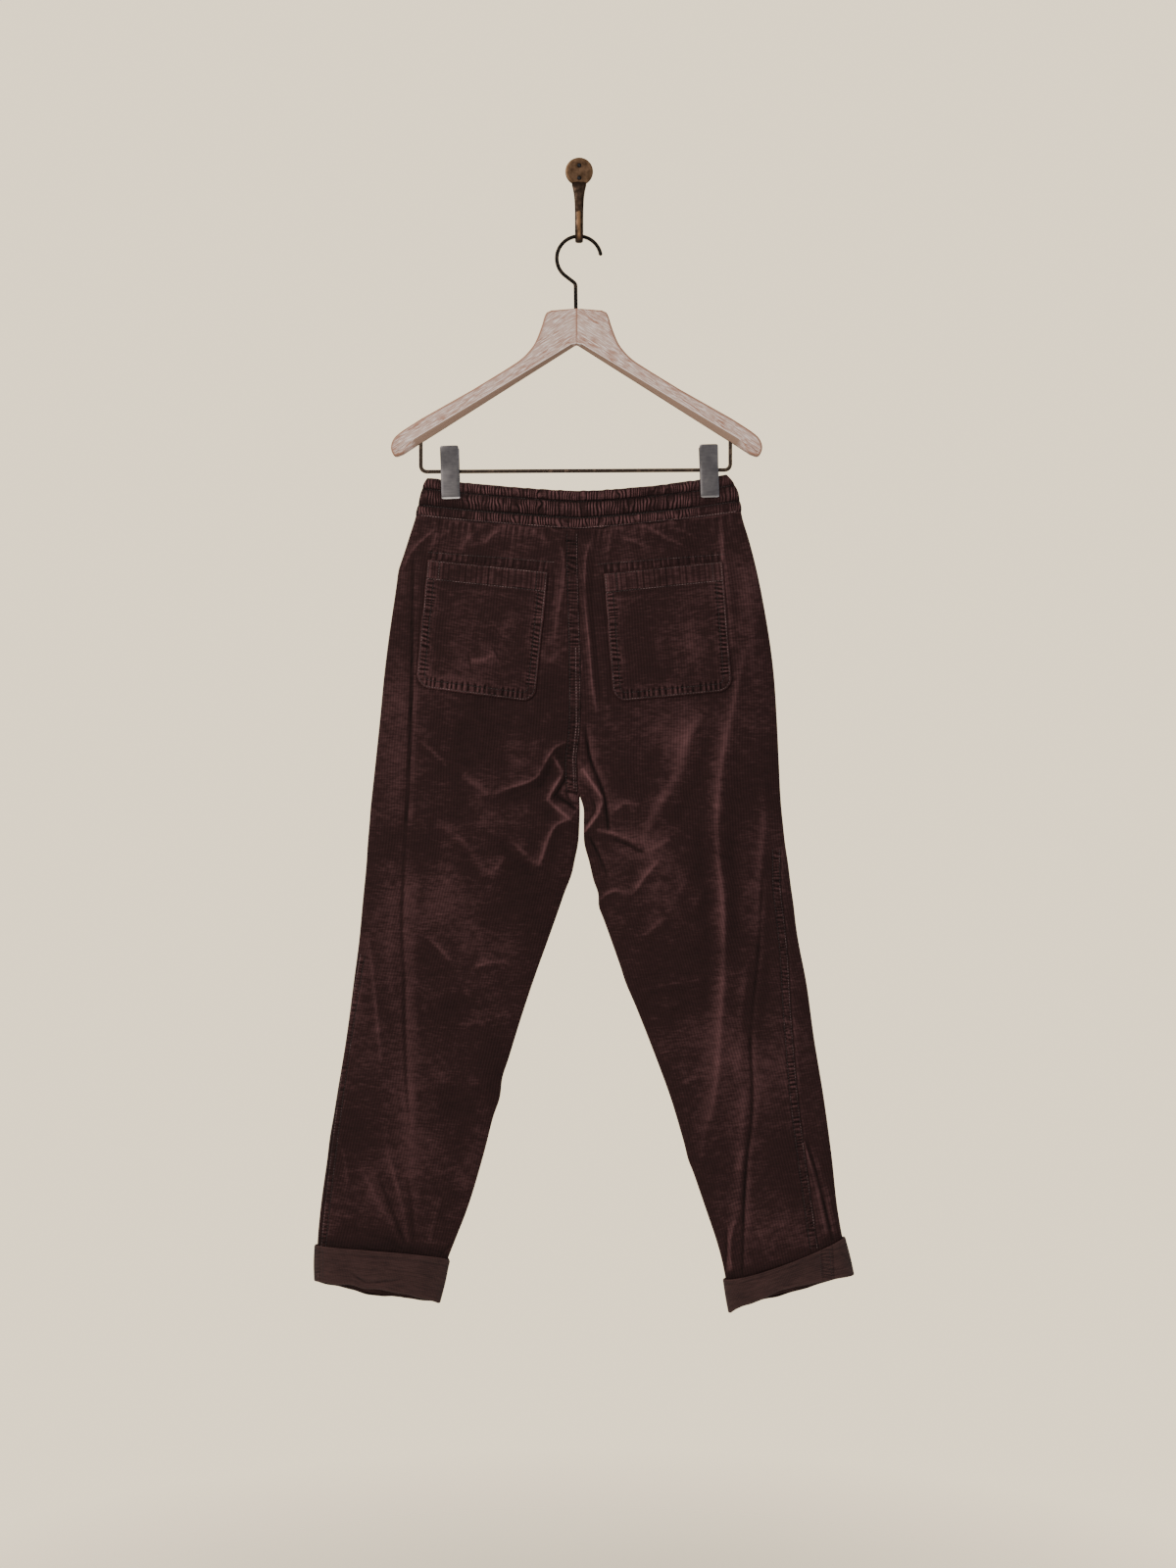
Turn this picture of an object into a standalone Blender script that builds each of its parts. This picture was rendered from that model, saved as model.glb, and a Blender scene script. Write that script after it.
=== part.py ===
"""Cord joggers seen from the back, hung by the waistband from a wooden clip hanger on a wall hook.

The origin is the centre of the hook's round plate, on the wall. +X is to the right as seen from
the room, -Y comes out into the room and +Z is up. The tables are in millimetres: "below" counts
down from the origin, "across" to the right of it, and "middle" and "depth" run out of the wall.
"""

import math
from collections import namedtuple

import bmesh
import bpy
import numpy as np
from mathutils.bvhtree import BVHTree

MM = 0.001

# ---------------------------------------------------------------- driving dimensions, millimetres
GAP = 0.3  # between pieces that meet
CLOTH = 1.7  # wall of the legs, pockets and turn-ups
WAISTBAND_WALL = 2.6  # two layers of cord over the elastic, under its bulges
HANG = -24.0  # middle of the hanger, wire and waistband, out from the wall

# The outline of the legs, a row for each section. Above the crotch both "in" columns are the
# centre seam. "depth" is half the flattened tube, "middle" its middle plane.
Section = namedtuple("Section", "below left_out left_in right_in right_out depth middle")
SECTIONS = [
    Section(365, -177, -3, -3, 173, 14, -24),
    Section(380, -185, -3, -3, 185, 14, -24),
    Section(400, -190.5, -2, -2, 191.5, 14, -24),
    Section(418, -195, -1.5, -1.5, 194.5, 14, -24),
    Section(445, -203.5, -1, -1, 202.5, 14, -24),
    Section(480, -214, 0, 0, 211.5, 14, -24),
    Section(527, -222, 1, 1, 221, 14, -24),
    Section(597, -231.5, 3, 3, 231.5, 14.5, -24),
    Section(667, -238.5, 2.5, 2.5, 236.5, 14.5, -23.5),
    Section(710, -243, -1.5, -1.5, 238.5, 14.5, -23.5),
    Section(751, -247.5, 0.5, 0.5, 240.5, 14.5, -23),
    Section(765, -249, 1, 4.8, 241.5, 14.5, -23),
    Section(785, -250.5, 0.5, 5.3, 243.5, 14.5, -23),
    Section(808, -252.5, -1, 6, 246, 14, -23),
    Section(831, -254, -6, 12, 249.5, 14, -22.5),
    Section(878, -258.5, -21, 22.5, 255, 14, -22),
    Section(925, -263, -37.5, 38.5, 262, 13.5, -21.5),
    Section(971, -269, -54, 55, 271, 13.5, -21),
    Section(1042, -278.5, -77, 83, 281, 13, -20.5),
    Section(1112, -290, -97, 109, 292.5, 12.5, -20),
    Section(1182, -300.5, -114.5, 130, 302, 12.5, -20),
    Section(1252, -310, -136, 153.5, 310, 12, -20),
    Section(1280, -312.5, -147, 163, 315, 12, -20),
    Section(1309, -313.5, -158, 171, 322, 12, -20),
    Section(1335, -313.5, -164, 176, 328, 12, -20),
    Section(1375, -313.5, -173.5, 182.5, 335, 12, -20),
]

# Heights of the level lines at the outseam ("out") and at the centre or inseam ("in"). A bow over
# 1 keeps the line down near the centre, and under 1 keeps it up near the outseam.
Level = namedtuple("Level", "left_out left_in left_bow right_out right_in right_bow")
WAIST_TOP = Level(372.0, 389.0, 1.45, 368.0, 389.0, 1.7)
WAIST_SEAM = Level(417.5, 434.5, 1.25, 412.5, 434.5, 1.25)
CROTCH = Level(751.0, 751.0, 1.0, 751.0, 751.0, 1.0)
CUFF_TOP = Level(1288.0, 1307.0, 0.5, 1278.5, 1329.0, 1.35)
HEM = Level(1330.0, 1356.2, 0.7, 1323.0, 1367.8, 0.7)

ROUNDNESS = 6.0  # how square the flattened tube's section is
CROTCH_ROUND = 110.0  # height over which the seat closes in under the crotch
CLIP_PINCH = 10.5  # how far the clips press each layer in, and how far that spreads
PINCH_SPREAD = 62.0
PINCH_ENDS = (400.0, 560.0)

BACK_COLUMNS, FRONT_COLUMNS = 18, 12
BACK_ROWS, FRONT_ROWS = (12, 18), (7, 11)  # waist to crotch, crotch to hem
EDGE_CROWDING = 0.65  # 0 spaces the columns evenly, 1 crowds them at the tube's edges

# The largest folds, each a soft ridge, or a trough where the height is negative, along a line of
# (across, below) points.
Fold = namedtuple("Fold", "panel width height line")
FOLD_END = 0.35  # share of a fold's height that is left at its ends
FOLDS = [
    Fold("back_left", 12, -2.5, [(-198, 481), (-201, 699), (-213, 907), (-207, 1102)]),
    Fold("back_left", 10, 3.0, [(-199, 1190), (-192, 1255)]),
    Fold("back_left", 11, 3.5, [(-9, 693), (-44, 721), (-54, 735), (-83, 743), (-132, 730)]),
    Fold("back_left", 10, 3.0, [(-174, 788), (-137, 809), (-110, 847), (-89, 826)]),
    Fold("back_left", 10, 3.0, [(-75, 806), (-48, 836), (-29, 785)]),
    Fold("back_left", 12, 2.5, [(-179, 926), (-155, 948), (-123, 955), (-84, 953)]),
    Fold("back_left", 12, 3.0, [(-253, 1216), (-218, 1280)]),
    Fold("back_left", 9, -3.0, [(-13, 714), (-35, 744), (-37, 760), (-14, 781)]),
    Fold("back_right", 9, -4.0, [(9, 698), (31, 753), (35, 791)]),
    Fold("back_right", 9, -3.0, [(15, 803), (35, 850)]),
    Fold("back_right", 10, 2.5, [(30, 877), (45, 865), (64, 868)]),
    Fold("back_right", 16, 4.0, [(142, 667), (121, 714), (97, 760), (76, 809)]),
    Fold("back_right", 10, -3.0, [(45, 805), (77, 820)]),
    Fold("back_right", 16, 4.0, [(190, 620), (173, 712), (164, 788), (173, 854), (169, 1026)]),
    Fold("back_right", 14, 3.0, [(168, 1060), (149, 1194)]),
    Fold("back_right", 12, 3.0, [(221, 788), (209, 942), (200, 1090)]),
    Fold("back_right", 10, -3.0, [(207, 1122), (197, 1315)]),
    Fold("back_right", 10, -3.0, [(277, 1194), (303, 1280)]),
    Fold("front_left", 14, 3.0, [(-20, 700), (-70, 750), (-125, 770)]),
    Fold("front_left", 14, -2.5, [(-190, 560), (-196, 760), (-205, 980)]),
    Fold("front_left", 12, 2.5, [(-150, 900), (-118, 935), (-90, 930)]),
    Fold("front_right", 14, 3.0, [(22, 700), (64, 745), (110, 800)]),
    Fold("front_right", 15, 3.0, [(180, 640), (172, 800), (178, 1010), (160, 1180)]),
    Fold("front_right", 12, -2.5, [(226, 900), (236, 1060), (262, 1200)]),
]

# The waistband: three elastic channels between stitched lines, gathered all the way across.
GATHERS = 70  # on each half
GATHER_HEIGHT = 0.9
Rib = namedtuple("Rib", "share bulge gather")
RIBS = [  # share of the waistband's height, how far the channel bulges, how deep its gathers are
    Rib(0.0, 0.2, 0.9),
    Rib(0.14, 1.2, 1.0),
    Rib(0.285, 0.0, 0.5),
    Rib(0.5, 1.5, 1.0),
    Rib(0.715, 0.0, 0.5),
    Rib(0.86, 1.2, 1.0),
    Rib(1.0, 0.1, 0.6),
]
CLIP_FLATTENS = 0.75  # share of the gathers that a clip presses flat
CLIP_FLAT_REACH = 20.0

# The patch pockets: their four corners as (across, below), lower corners rounded.
Pocket = namedtuple("Pocket", "panel top_left top_right bottom_left bottom_right")
POCKETS = {
    "pocket_left": Pocket("back_left", (-180.5, 470.5), (-36.5, 486.0), (-194.5, 622.0), (-52.5, 641.0)),
    "pocket_right": Pocket("back_right", (29.0, 488.0), (171.0, 472.5), (40.5, 640.5), (182.5, 627.0)),
}
POCKET_CORNER = 17.0
POCKET_CORNER_STEPS = (30, 55, 75, 90)  # degrees round a lower corner, where the rows lie
POCKET_BAND = 24.0  # height of the stitched-down top band
POCKET_BAND_EXTRA = 0.9
POCKET_BAND_STEP = 0.4  # the band's thickness ends over this far to each side of its stitches
POCKET_LIFT = 0.3
POCKET_REACH = 4.0  # the pocket clears the panel's ridges this far to each side of its points
POCKET_COLUMNS = 12
POCKET_BODY_ROWS = 8
ROOM_SIDE = -1.0  # metres out, from where the panel's surface is looked for

# The turned-up hems, a little slacker than the leg inside. Their walls belly out by these.
CUFF_SLACK = 1.8
CUFF_COLUMNS = 14
Belly = namedtuple("Belly", "share outer inner")
CUFF_BELLY = [Belly(0.35, 0.5, 0.3), Belly(0.7, 0.3, 0.2)]

# Hanger
HANGER_ACROSS = -3.0  # its centre line
WOOD_THICK = 14.0
Corner = namedtuple("Corner", "out below")
# Half the hanger's outline, out from the centre line: along the top, down the neck, to the tip.
WOOD_TOP = [Corner(0, 171), Corner(30, 173), Corner(35.5, 175.5), Corner(38, 180)]
WOOD_NECK = [Corner(42, 193), Corner(49, 210.5), Corner(57, 222), Corner(68, 232.5), Corner(87, 245)]
WOOD_ARM = [Corner(123, 267), Corner(185, 302), Corner(206, 315.5), Corner(216.5, 324)]
WOOD_TIP = [Corner(221, 333), Corner(220.5, 341), Corner(216, 346.5), Corner(207, 344)]
WOOD_APEX = 213.0  # where the two undersides meet
WOOD_UNDER_SLOPE = 0.633
WOOD_FOOT = 18.0  # the straight underside ends this far short of the tip's last corner
WOOD_CHAMFER = 4.5  # on the lower edges, front and back

WIRE = 3.4  # of the bar and the hook
BAR_LEFT, BAR_RIGHT = -189.0, 180.5
BAR_BELOW_LEFT, BAR_BELOW_RIGHT = 364.6, 362.5
BAR_BEND = 7.0

HOOK_ACROSS, HOOK_BELOW, HOOK_RADIUS = -0.3, 109.8, 26.4
HOOK_TIP_ANGLE, HOOK_LEAVE_ANGLE = 10.0, 230.0
HOOK_KNEE = (-4.3, 140.0)
HOOK_SHANK = -3.9
HOOK_KNEE_BEND = 6.0

# Clips
CLIP_WIDE = 22.0
CLIP_PLATE = 1.4
CLIP_UP, CLIP_DOWN = 29.5, 33.3  # from the bar to the plate's ends
CLIP_OPEN = 4.0  # how much further apart the plates stand at the top
CLIP_MARGIN = 4.0  # the plates clear the cloth this far round themselves
CLIPS = {"clip_left": -153.8, "clip_right": 155.1}
SLEEVE_LONG = 15.0

# Wall hook
PLATE_RADIUS, PLATE_THICK, PLATE_EDGE = 16.7, 4.0, 1.2
SCREW_RADIUS, SCREW_HEIGHT = 2.7, 1.5
SCREWS = {"screw_upper": -7.0, "screw_lower": 8.2}
Cut = namedtuple("Cut", "out below wide thick turn")
# The hook's arm as cuts across it, from the plate down; "turn" is its slope in degrees.
ARM = [
    Cut(2.6, 12.5, 13.5, 2.2, 0),
    Cut(4.6, 17.0, 14.2, 4.6, 10),
    Cut(6.6, 24.0, 11.8, 5.4, 12),
    Cut(8.5, 34.0, 9.6, 5.6, 9),
    Cut(9.6, 46.0, 8.6, 5.8, 4),
    Cut(10.0, 60.0, 8.2, 5.8, 0),
]
THROAT = 11.0  # inner radius of the J
THROAT_BELOW = 74.4
J_THICK, J_WIDE = 5.8, 7.4
TIP_BELOW, TIP_THICK, TIP_WIDE = 56.0, 3.6, 5.6
TIP_ROUND = [(1.2, 0.9), (0.0, 0.55)]  # below the tip, share of its width that is left there
J_CUTS = 9
RING = 12  # points round the arm
RING_SQUARE = 0.7  # 1 would make its cuts ellipses, less squares them

# ---------------------------------------------------------------- finishes
Finish = namedtuple("Finish", "colour roughness metallic")
FINISHES = {
    "cord_cloth": Finish((0.034, 0.016, 0.015), 0.85, 0.0),
    "cord_wrong_side": Finish((0.040, 0.019, 0.016), 0.95, 0.0),
    "limed_wood": Finish((0.52, 0.40, 0.34), 0.6, 0.0),
    "black_wire": Finish((0.02, 0.018, 0.016), 0.45, 0.8),
    "gunmetal": Finish((0.07, 0.065, 0.068), 0.4, 0.9),
    "aged_brass": Finish((0.10, 0.055, 0.030), 0.45, 0.9),
}


def finish(name):
    """The material of that name, made the first time it is asked for."""
    material = bpy.data.materials.get(name)
    if material:
        return material
    look = FINISHES[name]
    material = bpy.data.materials.new(name)
    material.use_nodes = True
    shader = material.node_tree.nodes["Principled BSDF"]
    shader.inputs["Base Color"].default_value = (*look.colour, 1.0)
    shader.inputs["Roughness"].default_value = look.roughness
    shader.inputs["Metallic"].default_value = look.metallic
    return material


# ---------------------------------------------------------------- reading the tables
KEYS = np.array([row.below for row in SECTIONS], float)
COLUMNS = {name: np.array([getattr(row, name) for row in SECTIONS], float) for name in Section._fields}
SLOPES = {name: np.gradient(values, KEYS) for name, values in COLUMNS.items()}


def section(name, below):
    """One column of SECTIONS at any height, on a smooth curve through its rows."""
    i = int(np.clip(np.searchsorted(KEYS, below) - 1, 0, len(KEYS) - 2))
    span = KEYS[i + 1] - KEYS[i]
    t = float(np.clip((below - KEYS[i]) / span, 0.0, 1.0))
    low, high = COLUMNS[name][i], COLUMNS[name][i + 1]
    lean, next_lean = SLOPES[name][i] * span, SLOPES[name][i + 1] * span
    return (
        low * (1 + 2 * t) * (1 - t) ** 2
        + lean * t * (1 - t) ** 2
        + high * t * t * (3 - 2 * t)
        - next_lean * t * t * (1 - t)
    )


def ease(t):
    """0 to 1 with level ends."""
    t = min(max(t, 0.0), 1.0)
    return t * t * (3 - 2 * t)


def between(first, second, share):
    """The level line a share of the way from one to the next."""
    return Level(*(a + (b - a) * share for a, b in zip(first, second)))


def lowered(level, by):
    """A level line moved down."""
    ends = ("left_out", "left_in", "right_out", "right_in")
    return level._replace(**{end: getattr(level, end) + by for end in ends})


def fold_height(panel, across, below):
    """How far the folds of a panel lift it there."""
    total = 0.0
    for fold in FOLDS:
        if fold.panel != panel:
            continue
        line = np.array(fold.line, float)
        starts, steps = line[:-1], np.diff(line, axis=0)
        lengths = np.linalg.norm(steps, axis=1)
        t = np.clip(((np.array([across, below]) - starts) * steps).sum(1) / lengths**2, 0, 1)
        away = np.linalg.norm(starts + steps * t[:, None] - [across, below], axis=1)
        nearest = int(away.argmin())
        share = (lengths[:nearest].sum() + t[nearest] * lengths[nearest]) / lengths.sum()
        taper = FOLD_END + (1 - FOLD_END) * math.sqrt(max(4 * share * (1 - share), 0.0))
        total += fold.height * taper * math.exp(-((away[nearest] / fold.width) ** 2))
    return total


# ---------------------------------------------------------------- the cloth's form
def pinch(across, below):
    """How far the nearer clip presses the cloth in."""
    fade = 1 - ease((below - PINCH_ENDS[0]) / (PINCH_ENDS[1] - PINCH_ENDS[0]))
    near = min(abs(across - middle) for middle in CLIPS.values())
    return CLIP_PINCH * fade * math.exp(-((near / PINCH_SPREAD) ** 2))


def cloth_point(side, face, s, level, inset, lift=0.0):
    """A point of a leg's tube: s runs from the outseam to the centre or inseam.

    face is 1 on the back and -1 on the front. inset moves the point in from the outer face, round
    the tube's two edges too, and lift raises it straight out.
    """
    out_below = getattr(level, side + "_out")
    in_below = getattr(level, side + "_in")
    below = in_below + (out_below - in_below) * (1 - s) ** getattr(level, side + "_bow")
    toward = 1 if side == "left" else -1
    ramp = min(max((in_below - CROTCH.left_in + CROTCH_ROUND) / CROTCH_ROUND, 0.0), 1.0)
    closing = ramp**2
    outer_edge = section(side + "_out", out_below) + toward * (inset - lift)
    seam = "left_in" if in_below <= CROTCH.left_in else side + "_in"
    inner_edge = section(seam, in_below) - toward * (inset * closing + GAP / 2)
    across = outer_edge + (inner_edge - outer_edge) * s
    rounding = math.sqrt(max(1 - (1 - s) ** ROUNDNESS, 0) * max(1 - closing * s**ROUNDNESS, 0))
    half = (section("depth", below) - pinch(across, below) - inset) * rounding
    panel = ("back_" if face > 0 else "front_") + side
    half = max(half + (fold_height(panel, across, below) + lift) * rounding, 0.0)
    out = section("middle", below) - face * (GAP / 2 + half)
    return (across * MM, out * MM, -below * MM)


def column_shares(count):
    """Places along s, closer together at the tube's edges."""
    even = np.linspace(0, 1, count + 1)
    return (1 - EDGE_CROWDING) * even + EDGE_CROWDING * (0.5 - 0.5 * np.cos(math.pi * even))


def leg_levels(rows):
    """The level lines from the waist seam to the hem."""
    seat, leg = rows
    levels = [between(WAIST_SEAM, CROTCH, i / seat) for i in range(seat)]
    return levels + [between(CROTCH, HEM, i / leg) for i in range(leg + 1)]


# ---------------------------------------------------------------- meshes
def add_object(name, mesh, material, smooth_angle=None):
    """Closes a bmesh into a named object with its finish."""
    bmesh.ops.recalc_face_normals(mesh, faces=mesh.faces[:])
    if mesh.calc_volume(signed=True) < 0:
        bmesh.ops.reverse_faces(mesh, faces=mesh.faces[:])
    data = bpy.data.meshes.new(name)
    mesh.to_mesh(data)
    mesh.free()
    data.materials.append(finish(material))
    if smooth_angle:
        data.shade_smooth()
        data.set_sharp_from_angle(angle=math.radians(smooth_angle))
    made = bpy.data.objects.new(name, data)
    bpy.context.collection.objects.link(made)
    return made


def wall(name, outer, inner, material):
    """A wall between two grids of points that match, closed round its four edges."""
    mesh = bmesh.new()
    rows, columns = len(outer), len(outer[0])
    faces = [[[mesh.verts.new(p) for p in row] for row in grid] for grid in (outer, inner)]
    for grid, turned in zip(faces, (False, True)):
        for i in range(rows - 1):
            for j in range(columns - 1):
                quad = [grid[i][j], grid[i][j + 1], grid[i + 1][j + 1], grid[i + 1][j]]
                mesh.faces.new(quad[::-1] if turned else quad)
    border = [(0, j) for j in range(columns)] + [(i, columns - 1) for i in range(1, rows)]
    border += [(rows - 1, j) for j in range(columns - 2, -1, -1)] + [(i, 0) for i in range(rows - 2, 0, -1)]
    for (i, j), (k, m) in zip(border, border[1:] + border[:1]):
        mesh.faces.new([faces[0][k][m], faces[0][i][j], faces[1][i][j], faces[1][k][m]])
    mesh.normal_update()
    bmesh.ops.triangulate(mesh, faces=mesh.faces[:])
    return add_object(name, mesh, material, 60)


def loft(name, rings, material, smooth_angle=60):
    """A solid through closed rings of as many points each, with both ends filled."""
    mesh = bmesh.new()
    loops = [[mesh.verts.new(p) for p in ring] for ring in rings]
    for first, second in zip(loops, loops[1:]):
        for k in range(len(first)):
            n = (k + 1) % len(first)
            mesh.faces.new([first[k], first[n], second[n], second[k]])
    mesh.faces.new(loops[0])
    mesh.faces.new(loops[-1][::-1])
    mesh.normal_update()
    bmesh.ops.triangulate(mesh, faces=mesh.faces[:])
    return add_object(name, mesh, material, smooth_angle)


def leg_panel(side, face):
    """A back or front leg, from the waist seam to the fold at the hem."""
    shares = column_shares(BACK_COLUMNS if face > 0 else FRONT_COLUMNS)
    levels = leg_levels(BACK_ROWS if face > 0 else FRONT_ROWS)
    grids = [
        [[cloth_point(side, face, s, level, inset) for s in shares] for level in levels]
        for inset in (0.0, CLOTH)
    ]
    return wall(("back_" if face > 0 else "front_") + side, *grids, "cord_cloth")


def waistband(face):
    """One half of the waistband, its gathers raised on the outside over a plain inside."""
    rings = []
    for column in range(2 * GATHERS + 1):
        across_share = column / GATHERS
        side = "left" if across_share <= 1 else "right"
        s = across_share if side == "left" else 2 - across_share
        crest = column % 2
        ring = []
        for rib in RIBS:
            level = lowered(between(WAIST_TOP, WAIST_SEAM, rib.share), -GAP * rib.share)
            at = cloth_point(side, face, s, level, 0.0)[0] / MM
            near = min(abs(at - middle) for middle in CLIPS.values())
            flat = 1 - CLIP_FLATTENS * math.exp(-((near / CLIP_FLAT_REACH) ** 2))
            lift = flat * (rib.bulge + GATHER_HEIGHT * rib.gather * crest)
            ring.append(cloth_point(side, face, s, level, 0.0, lift))
        ring.append(cloth_point(side, face, s, level, WAISTBAND_WALL))
        ring.append(cloth_point(side, face, s, WAIST_TOP, WAISTBAND_WALL))
        rings.append(ring)
    return loft("waistband_" + ("back" if face > 0 else "front"), rings, "cord_cloth", 80)


def surface_of(made):
    """The tree that finds where a straight line meets an object's faces."""
    return BVHTree.FromPolygons(
        [v.co for v in made.data.vertices], [p.vertices for p in made.data.polygons]
    )


def outermost(tree, across, below):
    """How far out a panel comes at a place and just beside it."""
    hits = []
    for i, j in ((0, 0), (1, 1), (1, -1), (-1, 1), (-1, -1)):
        x, z = across + i * POCKET_REACH, -below - j * POCKET_REACH
        hits.append(tree.ray_cast((x * MM, ROOM_SIDE, z * MM), (0.0, 1.0, 0.0))[0])
    return min(hit.y for hit in hits if hit)


def patch_pocket(name, pocket, tree):
    """A pocket on its panel, made from the panel's own points, moved out."""
    tall = pocket.bottom_left[1] - pocket.top_left[1]
    downs = [0.0, POCKET_BAND / 2, POCKET_BAND - POCKET_BAND_STEP, POCKET_BAND + POCKET_BAND_STEP]
    downs += list(np.linspace(POCKET_BAND, tall - POCKET_CORNER, POCKET_BODY_ROWS)[1:])
    for turn in POCKET_CORNER_STEPS:
        downs.append(tall - POCKET_CORNER * (1 - math.sin(math.radians(turn))))
    outer, inner = [], []
    for down in downs:
        share = down / tall
        over = max(down - (tall - POCKET_CORNER), 0.0)
        draw_in = POCKET_CORNER - math.sqrt(max(POCKET_CORNER**2 - over**2, 0.0))
        left = [a + (b - a) * share for a, b in zip(pocket.top_left, pocket.bottom_left)]
        right = [a + (b - a) * share for a, b in zip(pocket.top_right, pocket.bottom_right)]
        thick = CLOTH + (POCKET_BAND_EXTRA if down < POCKET_BAND else 0.0)
        start = draw_in / (right[0] - left[0])
        outer.append([])
        inner.append([])
        for t in np.linspace(start, 1 - start, POCKET_COLUMNS):
            x, below = left[0] + (right[0] - left[0]) * t, left[1] + (right[1] - left[1]) * t
            out = outermost(tree, x, below)
            outer[-1].append((x * MM, out - (POCKET_LIFT + thick) * MM, -below * MM))
            inner[-1].append((x * MM, out - POCKET_LIFT * MM, -below * MM))
    return wall(name, outer, inner, "cord_cloth")


def turn_up(side, face):
    """Half of a turned-up hem: the outer layer and the fold that carries it under the leg's end."""
    near, far = -CUFF_SLACK, -CUFF_SLACK - CLOTH
    under_leg, under_all = lowered(HEM, GAP), lowered(HEM, GAP + CLOTH)
    bellied = [(between(CUFF_TOP, HEM, row.share), row) for row in CUFF_BELLY]
    outer = [(CUFF_TOP, far)] + [(level, far - row.outer) for level, row in bellied]
    outer += [(HEM, far), (under_all, near), (under_all, CLOTH / 2)]
    inner = [(CUFF_TOP, near)] + [(level, near - row.inner) for level, row in bellied]
    inner += [(lowered(HEM, -CLOTH), near), (under_leg, near + CLOTH / 2), (under_leg, CLOTH)]
    shares = column_shares(CUFF_COLUMNS)
    grids = [
        [[cloth_point(side, face, s, level, inset) for s in shares] for level, inset in line]
        for line in (outer, inner)
    ]
    return wall(f"cuff_{side}_{'back' if face > 0 else 'front'}", *grids, "cord_wrong_side")


# ---------------------------------------------------------------- hanger
def curve_through(points, steps):
    """Points along a smooth curve that passes through each given one."""
    p = np.array(points, float)
    ends = np.vstack([2 * p[0] - p[1], p, 2 * p[-1] - p[-2]])
    found = []
    for a, b, c, d in zip(ends, ends[1:], ends[2:], ends[3:]):
        for t in np.linspace(0, 1, steps, endpoint=False):
            bend = (2 * a - 5 * b + 4 * c - d) * t * t + (3 * b - a - 3 * c + d) * t**3
            found.append(0.5 * (2 * b + (c - a) * t + bend))
    return found + [p[-1]]


def wood_half(name, toward):
    """One mitred half of the hanger, with its lower edges chamfered front and back."""
    outline = WOOD_TOP[:2] + curve_through(WOOD_TOP[2:] + WOOD_NECK, 2) + WOOD_ARM[:1]
    outline += curve_through(WOOD_ARM[1:] + WOOD_TIP, 2)
    chamfered = len(outline) - 2
    foot = WOOD_TIP[-1].out - WOOD_FOOT
    outline += [Corner(foot, WOOD_APEX + WOOD_UNDER_SLOPE * foot), Corner(0, WOOD_APEX)]
    face, core = WOOD_THICK / 2, WOOD_THICK / 2 - WOOD_CHAMFER
    rings = []
    for out, lift in ((-face, WOOD_CHAMFER), (-core, 0.0), (core, 0.0), (face, WOOD_CHAMFER)):
        ring = []
        for i, (x, below) in enumerate(outline):
            across = HANGER_ACROSS + toward * (x + GAP / 2)
            raised = lift if i >= chamfered else 0.0
            ring.append((across * MM, (HANG + out) * MM, -(below - raised) * MM))
        rings.append(ring)
    loft(name, rings, "limed_wood", 40)


def wire(name, points, material):
    """A round wire along a line of (across, below) points, in the hanger's plane."""
    data = bpy.data.curves.new(name, "CURVE")
    data.dimensions = "3D"
    data.bevel_depth = WIRE / 2 * MM
    data.bevel_resolution = 2
    data.use_fill_caps = True
    spline = data.splines.new("POLY")
    spline.points.add(len(points) - 1)
    for point, (x, below) in zip(spline.points, points):
        point.co = (x * MM, HANG * MM, -below * MM, 1.0)
    data.materials.append(finish(material))
    made = bpy.data.objects.new(name, data)
    bpy.context.collection.objects.link(made)
    return made


def rounded(corner, before, after, radius, steps=6):
    """The points of a bend: an arc that takes the corner off two straight runs."""
    corner, before, after = (np.array(p, float) for p in (corner, before, after))
    one = (before - corner) / np.linalg.norm(before - corner)
    two = (after - corner) / np.linalg.norm(after - corner)
    angle = math.acos(float(np.clip(one @ two, -1, 1)))
    middle = corner + (one + two) / np.linalg.norm(one + two) * radius / math.sin(angle / 2)
    start, end = (corner + way * radius / math.tan(angle / 2) for way in (one, two))
    points = []
    for t in np.linspace(0, 1, steps):
        way = (start - middle) * (1 - t) + (end - middle) * t
        points.append(tuple(middle + way / np.linalg.norm(way) * radius))
    return points


def under_wood(across):
    """How far below the origin the hanger's underside is."""
    return WOOD_APEX + WOOD_UNDER_SLOPE * abs(across - HANGER_ACROSS)


def bar_wire():
    """The bar that the clips slide on, turned up into the hanger at both ends."""
    clear = GAP + WOOD_UNDER_SLOPE * WIRE / 2
    left_top = (BAR_LEFT, under_wood(BAR_LEFT) + clear)
    right_top = (BAR_RIGHT, under_wood(BAR_RIGHT) + clear)
    left, right = (BAR_LEFT, BAR_BELOW_LEFT), (BAR_RIGHT, BAR_BELOW_RIGHT)
    bends = rounded(left, left_top, right, BAR_BEND) + rounded(right, left, right_top, BAR_BEND)
    return wire("hanger_bar", [left_top] + bends + [right_top], "black_wire")


def hook_wire():
    """The hanger's hook: a round head, a slanted run to its knee and a straight shank."""
    turns = np.radians(np.arange(HOOK_TIP_ANGLE, HOOK_LEAVE_ANGLE + 1, 10.0))
    head = [
        (HOOK_ACROSS + HOOK_RADIUS * math.cos(a), HOOK_BELOW - HOOK_RADIUS * math.sin(a)) for a in turns
    ]
    foot = (HOOK_SHANK, WOOD_TOP[0].below - GAP)
    knee = rounded(HOOK_KNEE, head[-1], foot, HOOK_KNEE_BEND)
    return wire("hanger_hook", head + knee + [foot], "black_wire")


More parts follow.
